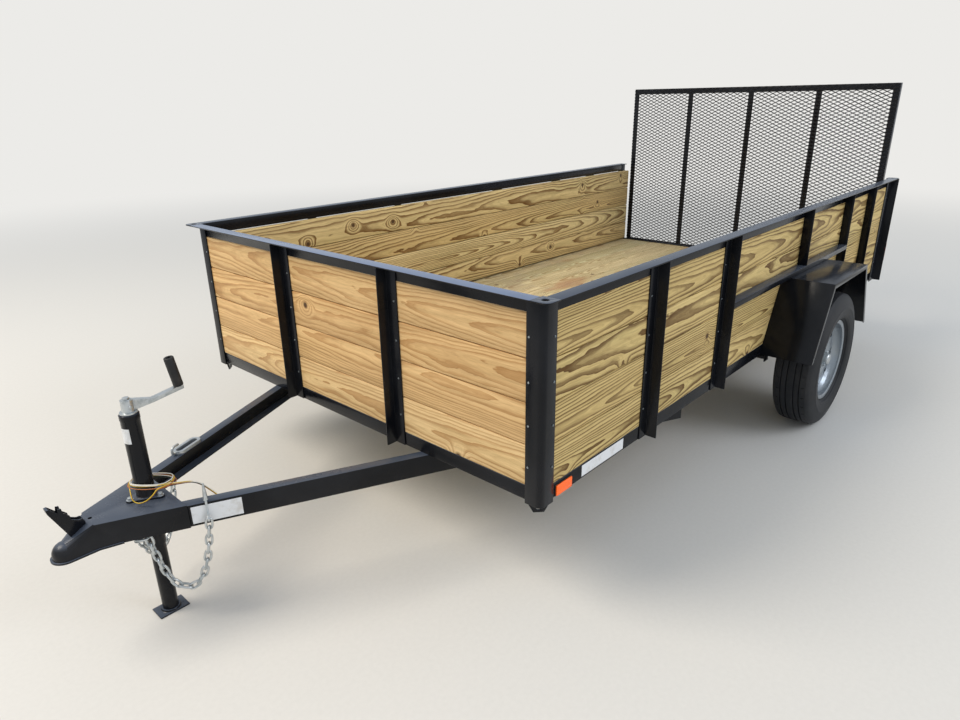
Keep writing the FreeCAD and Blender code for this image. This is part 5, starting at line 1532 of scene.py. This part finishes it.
@dataclass
class Jack:
    """Tongue jack: tube with its flange and cap, sliding leg, crank and grip."""

    rounds: int = 64
    tube_radius: float = 0.0286
    tube_wall: float = 0.0027
    leg_radius: float = 0.0254
    collar: float = 0.006
    ear_reach: float = 0.050
    ear_radius: float = 0.013
    flange_thick: float = 0.006
    grip_radius: float = 0.0155
    grip_length: float = 0.1
    crank_lean: float = 9.0
    boss_height: float = 0.042
    boss_radius: float = 0.018
    crank_bolt: tuple[float, float] = (0.0105, 0.0062)
    flange_bolt: tuple[float, float] = (0.0085, 0.0066)
    pin_radius: float = 0.0048
    pin_end: float = 0.004
    pin_share: float = 0.52
    foot_thick: float = 0.005
    flange_steps: int = 12

    def build(self, finishes: Finishes) -> None:
        """Build the jack.

        Args:
            finishes: The trailer's finishes.
        """
        self._tube(finishes)
        self._leg(finishes)
        self._crank(finishes)
        self._grip(finishes)

    def foot(self) -> Vector:
        """Where the tube's axis meets the ground."""
        return Vector((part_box("jack_tube")[1].x - self.ear_reach - self.ear_radius, 0, 0))

    def _tube(self, finishes: Finishes) -> None:
        """Outer tube, hollow below, with a rolled rim under the cap, and its bolted flange.

        Args:
            finishes: The trailer's finishes.
        """
        low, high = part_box("jack_tube")
        outer = self.tube_radius
        inner = outer - self.tube_wall
        axis = self.foot()
        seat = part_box("coupler")[1].z
        top = seat + self.flange_thick
        points = [(low.z, inner), (low.z, outer - 0.0006), (low.z + 0.0006, outer),
                  (top, outer), (top, outer + 0.0035), (top + 0.0012, outer + 0.0016),
                  (top + 0.0035, outer),
                  (high.z - 0.022, outer), (high.z - 0.020, outer + 0.0012),
                  (high.z - 0.004, outer + 0.0012), (high.z - 0.001, outer - 0.0015),
                  (high.z, 0.018), (high.z, 0.0), (high.z - 0.006, 0.0),
                  (high.z - 0.006, inner)]
        tube = Bench.turned("jack_tube_barrel", points, self.rounds)
        self._stand(tube, axis)
        ears = [axis + Vector((math.cos(turn), math.sin(turn), 0)) * self.ear_reach
                for turn in (0.0, math.tau / 3, math.tau * 2 / 3)]
        rim = []
        for index, ear in enumerate(ears):
            for step in range(self.flange_steps + 1):
                turn = math.tau / 3 * index + math.pi * (step / self.flange_steps - 0.5)
                rim.append((ear.x + self.ear_radius * math.cos(turn),
                            ear.y + self.ear_radius * math.sin(turn), seat))
        flange = Bench.prism("jack_flange", rim, (0, 0, self.flange_thick))
        Bench.ease(flange, 0.0009, 2, 40.0)
        piece = Bench.polish(Bench.join("jack_tube_steel", [tube, flange]), 40.0)
        deliver(piece, Body.CHASSIS, finishes, "steel", ["jack_tube"])
        bolts = [hex_bolt(f"jack_bolt_{index}", ear + Vector((0, 0, top)), *self.flange_bolt)
                 for index, ear in enumerate(ears)]
        deliver(Bench.join("jack_bolts", bolts), Body.CHASSIS, finishes, "zinc")

    @staticmethod
    def _stand(piece: Piece, centre: Vector) -> None:
        """Stand a piece turned about Y upright at a place, its across coordinate as height."""
        turn = Matrix.Rotation(math.pi / 2, 4, "X")
        piece.data.transform(Matrix.Translation((centre.x, centre.y, 0)) @ turn)

    def _leg(self, finishes: Finishes) -> None:
        """Sliding leg with its foot plate.

        Args:
            finishes: The trailer's finishes.
        """
        low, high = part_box("jack_leg")
        centre = (low + high) / 2
        radius = self.leg_radius
        brim = radius + self.collar
        points = [(0.005, 0.0), (0.005, brim + 0.003), (0.0065, brim + 0.0008), (0.0095, brim),
                  (0.011, brim - 0.0015), (0.011, radius), (high.z, radius),
                  (high.z, radius - 0.003), (high.z - 0.01, radius - 0.003), (high.z - 0.01, 0.0)]
        leg = Bench.turned("jack_leg_tube", points, self.rounds, closed=False)
        self._stand(leg, centre)
        foot = Bench.block("jack_foot_plate", (low.x, low.y, 0.0), (high.x, high.y, self.foot_thick))
        Bench.push_faces(foot, lambda middle, normal: normal.z > 0.9, 0.0, 0.012)
        Bench.ease(foot, 0.0012, 2, 40.0)
        piece = Bench.join("jack_leg_steel", [leg, foot])
        Bench.polish(piece, 40.0)
        deliver(piece, Body.JACK_LEG, finishes, "steel", ["jack_leg"])

    def _crank(self, finishes: Finishes) -> None:
        """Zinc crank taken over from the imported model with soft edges.

        Args:
            finishes: The trailer's finishes.
        """
        piece = Bench.from_node("jack_crank", "jack_crank_zinc")
        Bench.ease(piece, 0.0016, 3)
        Bench.polish(piece, 36.0)
        deliver(piece, Body.CHASSIS, finishes, "zinc", ["jack_crank"])
        axis = self.foot() + Vector((0, 0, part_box("jack_tube")[1].z))
        head = hex_bolt("crank_top_bolt", axis + Vector((0, 0, self.boss_height)), *self.crank_bolt)
        rise = axis.z + self.boss_height * self.pin_share
        reach = self.boss_radius + self.pin_end
        pin = Bench.rod("crank_pin", (axis.x - 0.001, -reach, rise), (axis.x - 0.001, reach, rise),
                        self.pin_radius)
        Bench.ease(pin, 0.0012, 2, 50.0)
        bolts = Bench.polish(Bench.join("crank_bolts", [head, pin]), 34.0)
        deliver(bolts, Body.CHASSIS, finishes, "zinc")

    def _grip(self, finishes: Finishes) -> None:
        """Straight black grip with a dished end, leaning as the crank's pin does.

        Args:
            finishes: The trailer's finishes.
        """
        low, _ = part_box("crank_grip")
        outer, length = self.grip_radius, self.grip_length
        lean = math.radians(self.crank_lean)
        base = Vector((low.x + outer * math.cos(lean), 0, low.z + outer * math.sin(lean)))
        points = [(0.0, 0.0), (0.0, outer - 0.0012), (0.0012, outer),
                  (length - 0.0030, outer), (length - 0.0008, outer - 0.0012),
                  (length, outer - 0.0032), (length - 0.0006, 0.0085), (length - 0.0070, 0.0075),
                  (length - 0.0070, 0.0)]
        grip = Bench.turned("crank_grip_rubber", points, 40, closed=False)
        self._stand(grip, Vector((0, 0, 0)))
        grip.data.transform(Matrix.Translation(base) @ Matrix.Rotation(lean, 4, "Y"))
        Bench.polish(grip, 50.0)
        deliver(grip, Body.CHASSIS, finishes, "grip", ["crank_grip"])


def hex_bolt(name: str, base: Vector, radius: float, height: float) -> Piece:
    """A hexagon bolt head on its washer, standing up from a place.

    Args:
        name: The piece's name.
        base: Middle of the washer's underside.
        radius: Corner radius of the hexagon.
        height: Height of the head above the washer.

    Returns:
        The bolt head.
    """
    thick, washer_share = 0.0016, 1.35
    seat = base + Vector((0, 0, thick))
    washer = Bench.rod(f"{name}_washer", base, seat, radius * washer_share)
    head = Bench.rod(f"{name}_head", seat, seat + Vector((0, 0, height)), radius, 6)
    for piece in (washer, head):
        Bench.ease(piece, 0.0005, 2, 40.0)
    return Bench.polish(Bench.join(name, [washer, head]), 32.0)


# Wiring


@dataclass(frozen=True)
class Strand:
    """One insulated wire: its finish, place in the bundle, turns and length."""

    finish: str
    beside: float
    above: float
    radius: float
    turns: int
    base: float
    hangs: bool
    length: float


@dataclass
class Wiring:
    """Thin wires out of the left beam, wound loosely round the jack tube."""

    thick: float = 0.0028
    stretch: float = 0.052
    heading: float = 132.6
    steps: int = 16
    jack_x: float = 2.10955
    bunched: float = 0.6
    lead_spread: tuple[float, float] = (0.9, 0.4)
    turn_gap: float = 0.0032
    rise: float = 0.0052
    rise_back: float = 1.7
    lean_back: float = 1.7
    loop_out: float = 0.0470
    loop_gap: float = 0.0022
    loop_steps: ClassVar[range] = range(3, 7)
    wave: float = 0.0012
    wave_aside: float = 12.0
    waves: float = 3.0
    wave_shift: float = 2.1
    lead: ClassVar[tuple] = (
        (1.94583, 0.19347, 0.402),
        (1.93146, 0.16265, 0.402),
        (1.93755, 0.132, 0.415),
        (1.95355, 0.112, 0.438),
        (1.97555, 0.103, 0.466),
        (2.00155, 0.101, 0.486),
        (2.0260, 0.0885, 0.488),
    )
    loop: ClassVar[tuple] = (
        (0.067, 0.0095, 0.4995),
        (0.059, 0.0175, 0.486),
        (0.039, 0.0225, 0.468),
        (0.017, 0.0220, 0.457),
        (-0.001, 0.0190, 0.457),
        (-0.012, 0.0160, 0.466),
        (-0.016, 0.0105, 0.481),
    )
    strands: ClassVar[tuple] = (
        Strand("white", -0.0016, 0.0, 0.0395, 2, 0.4985, False, 0.90),
        Strand("brown", 0.0016, -0.0016, 0.0440, 2, 0.4905, True, 1.02),
        Strand("yellow", 0.0016, 0.0016, 0.0425, 2, 0.4950, True, 0.98),
        Strand("green", -0.0016, -0.0030, 0.0360, 1, 0.4860, False, 0.53),
    )

    def build(self, finishes: Finishes) -> None:
        """Lay every wire and seat the grommet.

        Args:
            finishes: The trailer's finishes.
        """
        nodes = ["wiring_coil", "wiring_lead", "wiring_loop"]
        for index, strand in enumerate(self.strands):
            route = self._route(strand, index)
            wire = self._wire(f"wiring_{strand.finish}", route)
            deliver(wire, Body.CHASSIS, finishes, strand.finish, () if index else nodes)
        grommet = Bench.from_node("wiring_grommet", "wiring_grommet_rubber")
        Bench.ease(grommet, 0.0012, 2)
        deliver(grommet, Body.CHASSIS, finishes, "grip", ["wiring_grommet"])

    def _spot(self, along: float, across: float, height: float) -> Point:
        """A place in the coil: along its long way and across it from the jack's axis.

        Args:
            along: Distance along the coil's long way.
            across: Distance across it.
            height: Height above the ground.

        Returns:
            The place.
        """
        turn = math.radians(self.heading)
        way = Vector((math.cos(turn), math.sin(turn), 0))
        side = Vector((-way.y, way.x, 0))
        place = Vector((self.jack_x, 0, 0)) + way * along + side * across
        return (place.x, place.y, height)

    def _route(self, strand: Strand, index: int) -> list[Point]:
        """Control points of one wire: lead, turns, and the loop where it has one.

        Args:
            strand: The wire.
            index: Its number in the bundle.

        Returns:
            The points in order.
        """
        points = []
        for number, (x, y, z) in enumerate(self.lead):
            ease = 1.0 if number else self.bunched
            points.append((x + strand.beside * self.lead_spread[0] * ease,
                           y - strand.beside * self.lead_spread[1] * ease,
                           z + strand.above * ease))
        height = strand.base
        for turn in range(strand.turns):
            reach = strand.radius - self.turn_gap * turn * (-1 if index % 2 else 1)
            for step in range(1, self.steps + 1):
                angle = -math.tau * step / self.steps
                lean = 0.5 + 0.5 * max(-1.0, min(1.0, self.lean_back * math.cos(angle)))
                height += self.rise / self.steps * (1 if turn % 2 == 0 else -self.rise_back)
                along = self.stretch * lean + reach * math.cos(angle)
                across = reach * math.sin(angle)
                hanging = strand.hangs and turn == 0 and step in self.loop_steps
                if hanging and step == self.loop_steps[0]:
                    shift = self.loop_gap * (index - 1.5)
                    points += [self._spot(a, -(self.loop_out + out + shift), z + shift)
                               for a, out, z in self.loop]
                if not hanging:
                    wave = self.wave * math.sin(self.waves * angle + self.wave_shift * index + turn)
                    points.append(self._spot(along, across * (1 + wave * self.wave_aside),
                                             height + wave))
        return points

    def _wire(self, name: str, points: Sequence[Point]) -> Piece:
        """A round curve along a route.

        Args:
            name: The wire's name.
            points: The route's control points.

        Returns:
            The wire.
        """
        line = bpy.data.curves.new(name, "CURVE")
        line.dimensions = "3D"
        spline = line.splines.new("NURBS")
        spline.points.add(len(points) - 1)
        for point, place in zip(spline.points, points):
            point.co = (*place, 1.0)
        spline.order_u = 3
        spline.use_endpoint_u = True
        line.resolution_u = 6
        line.bevel_depth = self.thick / 2
        line.bevel_resolution = 3
        line.use_fill_caps = True
        wire = bpy.data.objects.new(name, line)
        bpy.context.collection.objects.link(wire)
        return wire


# Safety chains


@dataclass
class SafetyChain:
    """A zinc chain with round links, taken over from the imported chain."""

    word: str
    swell: float = 0.0005
    bow_width: float = 0.044
    bow_wire: float = 0.011
    bow_length: float = 0.122
    curl_radius: float = 0.0135
    curl_wire: float = 0.0046
    curl_prong: float = 0.020

    def build(self, finishes: Finishes) -> None:
        """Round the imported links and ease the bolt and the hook.

        Args:
            finishes: The trailer's finishes.
        """
        node = f"safety_chain_{self.word}"
        whole = Bench.from_node(node, f"chain_{self.word}_whole")
        with Bench.opened(whole):
            bpy.ops.mesh.separate(type="LOOSE")
        parts = list(bpy.context.selected_objects)
        counts = [len(part.data.vertices) for part in parts]
        usual = max(set(counts), key=counts.count)
        links = [part for part, count in zip(parts, counts) if count == usual]
        others = [part for part, count in zip(parts, counts) if count != usual]
        chain = Bench.join(f"chain_{self.word}_links", links)
        Bench.modify(chain, "DISPLACE", strength=self.swell, mid_level=0.0)
        Bench.modify(chain, "SUBSURF", levels=2, render_levels=2)
        Bench.polish(chain, 60.0)
        deliver(chain, Body.CHASSIS, finishes, "zinc", [node])
        if self.word == "right":
            others.append(self._curl(max(others, key=lambda part: part.dimensions.x)))
        ends = Bench.join(f"chain_{self.word}_ends", others)
        Bench.ease(ends, 0.0011, 3)
        Bench.polish(ends, 40.0)
        deliver(ends, Body.CHASSIS, finishes, "zinc")

    def _curl(self, hook: Piece) -> Piece:
        """The hook's open tip, bent up and back over the front of the bow on the right beam.

        Args:
            hook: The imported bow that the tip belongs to.

        Returns:
            The tip.
        """
        corners = [vertex.co for vertex in hook.data.vertices]
        half = self.bow_width / 2
        rear = Vector((min(corner.x for corner in corners) + half,
                       min(corner.y for corner in corners) + half,
                       max(corner.z for corner in corners) - self.bow_wire / 2))
        ahead = Vector((math.cos(TONGUE_TURN), math.sin(TONGUE_TURN), 0))
        up = Vector((0, 0, self.curl_radius))
        start = rear + ahead * (self.bow_length - half - self.bow_wire / 2)
        bend = start + ahead * self.bow_wire / 2 + up
        bpy.ops.object.select_all(action="DESELECT")
        facing = ahead.cross(up).to_track_quat("Z", "Y").to_euler()
        bpy.ops.mesh.primitive_torus_add(location=bend, rotation=facing, major_segments=48,
                                         minor_segments=16, major_radius=self.curl_radius,
                                         minor_radius=self.curl_wire)
        arc = Bench.settle("hook_curl")
        with Bench.opened(arc):
            bpy.ops.mesh.bisect(plane_co=bend, plane_no=-ahead, clear_outer=True, use_fill=True)
        foot = Bench.rod("hook_curl_foot", bend - up, start - ahead * self.bow_wire / 4,
                         self.curl_wire)
        tip = Bench.rod("hook_curl_tip", bend + up, bend + up - ahead * self.curl_prong,
                        self.curl_wire)
        return Bench.join("hook_curl", [arc, foot, tip])


# Lamps


@dataclass
class Lamps:
    """Amber side markers and red tail lamps, each a lens on a black shell."""

    marker_base: float = 0.003
    tail_base: float = 0.008
    brim: float = 0.002
    shell_edge: float = 0.0012
    lens_edge: float = 0.0026

    def build(self, finishes: Finishes) -> None:
        """Build both pairs.

        Args:
            finishes: The trailer's finishes.
        """
        for node, name, finish in (("side_markers", "side_marker", "amber"),
                                   ("tail_lamps", "tail_lamp", "red")):
            lenses, shells = [], []
            for index, (low, high) in enumerate(solid_boxes(node)):
                if finish == "amber":
                    axis, forward, base = 1, low.y + high.y > 0, self.marker_base
                else:
                    axis, forward, base = 0, False, self.tail_base
                lens, shell = self._lamp(f"{name}_{index}", (low, high), axis, forward, base)
                lenses.append(lens)
                shells.append(shell)
            deliver(Bench.join(f"{name}_lenses", lenses), Body.CHASSIS, finishes, finish, [node])
            deliver(Bench.join(f"{name}_shells", shells), Body.CHASSIS, finishes, "grip")

    def _lamp(self, name: str, corners: tuple[Vector, Vector], axis: int, forward: bool,
              base: float) -> tuple[Piece, Piece]:
        """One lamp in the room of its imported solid.

        Args:
            name: Start of the pieces' names.
            corners: Lowest and highest corner of the room.
            axis: The axis along which the lens looks.
            forward: Whether it looks along the axis or against it.
            base: Depth of the shell.

        Returns:
            The lens and the shell.
        """
        low, high = corners
        shell_low, shell_high = low.copy(), high.copy()
        brim = Vector((self.brim,) * 3)
        brim[axis] = 0.0
        lens_low, lens_high = low + brim, high - brim
        if forward:
            shell_high[axis] = lens_low[axis] = low[axis] + base
        else:
            shell_low[axis] = lens_high[axis] = high[axis] - base
        shell = Bench.ease(Bench.block(f"{name}_shell", shell_low, shell_high), self.shell_edge)
        lens = Bench.ease(Bench.block(f"{name}_lens", lens_low, lens_high), self.lens_edge, 3, 40.0)
        return Bench.polish(lens, 50.0), Bench.polish(shell, 40.0)


# Screws and labels


@dataclass
class Screws:
    """Screws that hold the boards to posts and uprights."""

    radius: float = 0.0035
    height: float = 0.0015
    sunk: float = 0.0005
    recess_inset: float = 0.0014
    recess_depth: float = 0.0010
    recess_edge: float = 0.0005
    head_edge: float = 0.0006
    steel: float = 0.0048
    from_edge: float = 0.013
    from_front_edge: float = 0.011
    from_rear_edge: float = 0.016
    turned_over: float = -0.3
    clearance: float = 0.02

    def build(self, finishes: Finishes) -> None:
        """Set one screw in each board at each upright and post.

        Args:
            finishes: The trailer's finishes.
        """
        heights = sorted({round((low.z + high.z) / 2, 4)
                          for low, high in solid_boxes("boards_left")})
        pattern = self._pattern()
        groups: dict[str, list[Piece]] = {"left": [], "right": [], "front": []}

        def row(word: str, x: float, y: float, way: Point, above: float = 0.0) -> None:
            """Set one screw in each board of a wall.

            Args:
                word: The wall.
                x: Place along the trailer.
                y: Place across it.
                way: The way that the screws face.
                above: Boards with their middle below this height get none.
            """
            turn = Vector(way).to_track_quat("Z", "Y").to_matrix().to_4x4()
            for z in heights:
                if z > above:
                    move = Matrix.Translation((x, y, z)) @ turn
                    groups[word].append(Bench.twin(pattern, "screw", move))

        ahead = (1, 0, 0)
        for word, side in (("left", 1), ("right", -1)):
            out = (0, side, 0)
            for low, high in solid_boxes(f"uprights_{word}"):
                before = (low.x + high.x) / 2 > self.turned_over
                x = high.x - self.from_edge if before else low.x + self.from_edge
                y = low.y + self.steel if side > 0 else high.y - self.steel
                row(word, x, y, out, low.z + self.clearance)
            for low, high in solid_boxes("corner_posts_front"):
                if (low.y + high.y) * side > 0:
                    row(word, low.x + self.from_front_edge, high.y if side > 0 else low.y, out)
                    inner = (low.y + self.from_front_edge if side > 0
                             else high.y - self.from_front_edge)
                    row("front", high.x, inner, ahead)
            for low, high in solid_boxes("corner_posts_rear"):
                if (low.y + high.y) * side > 0:
                    y = low.y + self.steel if side > 0 else high.y - self.steel
                    row(word, high.x - self.from_rear_edge, y, out)
        for low, high in solid_boxes("uprights_front"):
            row("front", low.x + self.steel, high.y - self.from_edge, ahead)
        Bench.discard(pattern)
        for word, screws in groups.items():
            deliver(Bench.join(f"screws_{word}", screws), Body.CHASSIS, finishes, "screw_zinc")

    def _pattern(self) -> Piece:
        """One pan-head screw with a six-sided recess, its face towards +Z.

        Returns:
            The screw.
        """
        head = Bench.rod("screw_pattern", (0, 0, -self.sunk), (0, 0, self.height), self.radius, 12)
        Bench.push_faces(head, lambda middle, normal: normal.z > 0.9, 0.0, self.recess_inset)
        Bench.push_faces(head, lambda middle, normal: normal.z > 0.9 and middle.xy.length < 0.001,
                         -self.recess_depth, self.recess_edge)
        Bench.ease(head, self.head_edge, 1, 60.0)
        return Bench.polish(head, 35.0)


@dataclass
class Labels:
    """Blank labels on the left frame rail, the left tongue beam and the jack tube."""

    thick: float = 0.0004
    rail_ends: tuple[float, float] = (-0.476, -0.220)
    rail_heights: tuple[float, float] = (0.4455, 0.4865)
    apex_ahead: float = 1.0
    beam_start: float = 0.372
    beam_length: float = 0.152
    beam_heights: tuple[float, float] = (0.372, 0.432)
    jack_turn: float = -25.0
    jack_wrap: float = 78.0
    jack_steps: int = 12
    jack_base: float = 0.641
    jack_height: float = 0.050

    def build(self, finishes: Finishes) -> None:
        """Stick the labels on.

        Args:
            finishes: The trailer's finishes.
        """
        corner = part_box("bottom_frame")[1]
        rear, front = (corner.x + end for end in self.rail_ends)
        bottom, top = self.rail_heights
        rail = Bench.block("label_frame_rail", (rear, corner.y - self.thick, bottom),
                           (front, corner.y + self.thick, top))
        Bench.ease(rail, 0.0003, 1, 40.0)
        for label in (rail, self._beam_label(), self._jack_label()):
            deliver(label, Body.CHASSIS, finishes, "label")

    def _beam_label(self) -> Piece:
        """A label on the outer face of the left tongue beam, just behind the coupler.

        Returns:
            The label.
        """
        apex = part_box("top_rail_front")[1].x + self.apex_ahead
        run = Vector((-math.cos(TONGUE_TURN), math.sin(TONGUE_TURN), 0))
        out = Vector((math.sin(TONGUE_TURN), math.cos(TONGUE_TURN), 0))
        start = Vector((apex, 0, 0)) + run * self.beam_start
        bottom, top = self.beam_heights
        outline = ((0, bottom), (self.beam_length, bottom), (self.beam_length, top), (0, top))
        corners = [tuple(start + run * along + Vector((0, 0, z)) - out * self.thick)
                   for along, z in outline]
        return Bench.prism("label_beam", corners, tuple(out * self.thick * 2))

    def _jack_label(self) -> Piece:
        """A label wrapped on the front of the jack tube.

        Returns:
            The label.
        """
        jack = Jack()
        centre = jack.foot().x
        radius = jack.tube_radius + self.thick
        points = []
        for index in range(self.jack_steps + 1):
            turn = math.radians(self.jack_wrap * index / self.jack_steps + self.jack_turn)
            points.append((centre + radius * math.cos(turn), radius * math.sin(turn),
                           self.jack_base))
        label = Bench.line("label_jack", points)
        rise = (0, 0, self.jack_height)
        with Bench.opened(label):
            bpy.ops.mesh.extrude_region_move(TRANSFORM_OT_translate={"value": rise})
        Bench.modify(label, "SOLIDIFY", thickness=self.thick, offset=0.0)
        return Bench.polish(label, 40.0)


def main() -> None:
    """Build the studio and every sub-assembly in order."""
    logging.basicConfig(level=logging.INFO, format="%(name)s %(message)s")
    finishes = Finishes()
    Studio().build()
    Wiring().build(finishes)
    Steelwork().build(finishes)
    Lumber().build(finishes)
    Wheel(1, Body.WHEEL_LEFT).build(finishes)
    Wheel(-1, Body.WHEEL_RIGHT).build(finishes)
    GateMesh().build(finishes)
    Jack().build(finishes)
    SafetyChain("left").build(finishes)
    SafetyChain("right").build(finishes)
    Lamps().build(finishes)
    Screws().build(finishes)
    Labels().build(finishes)


if __name__ == "__main__":
    main()
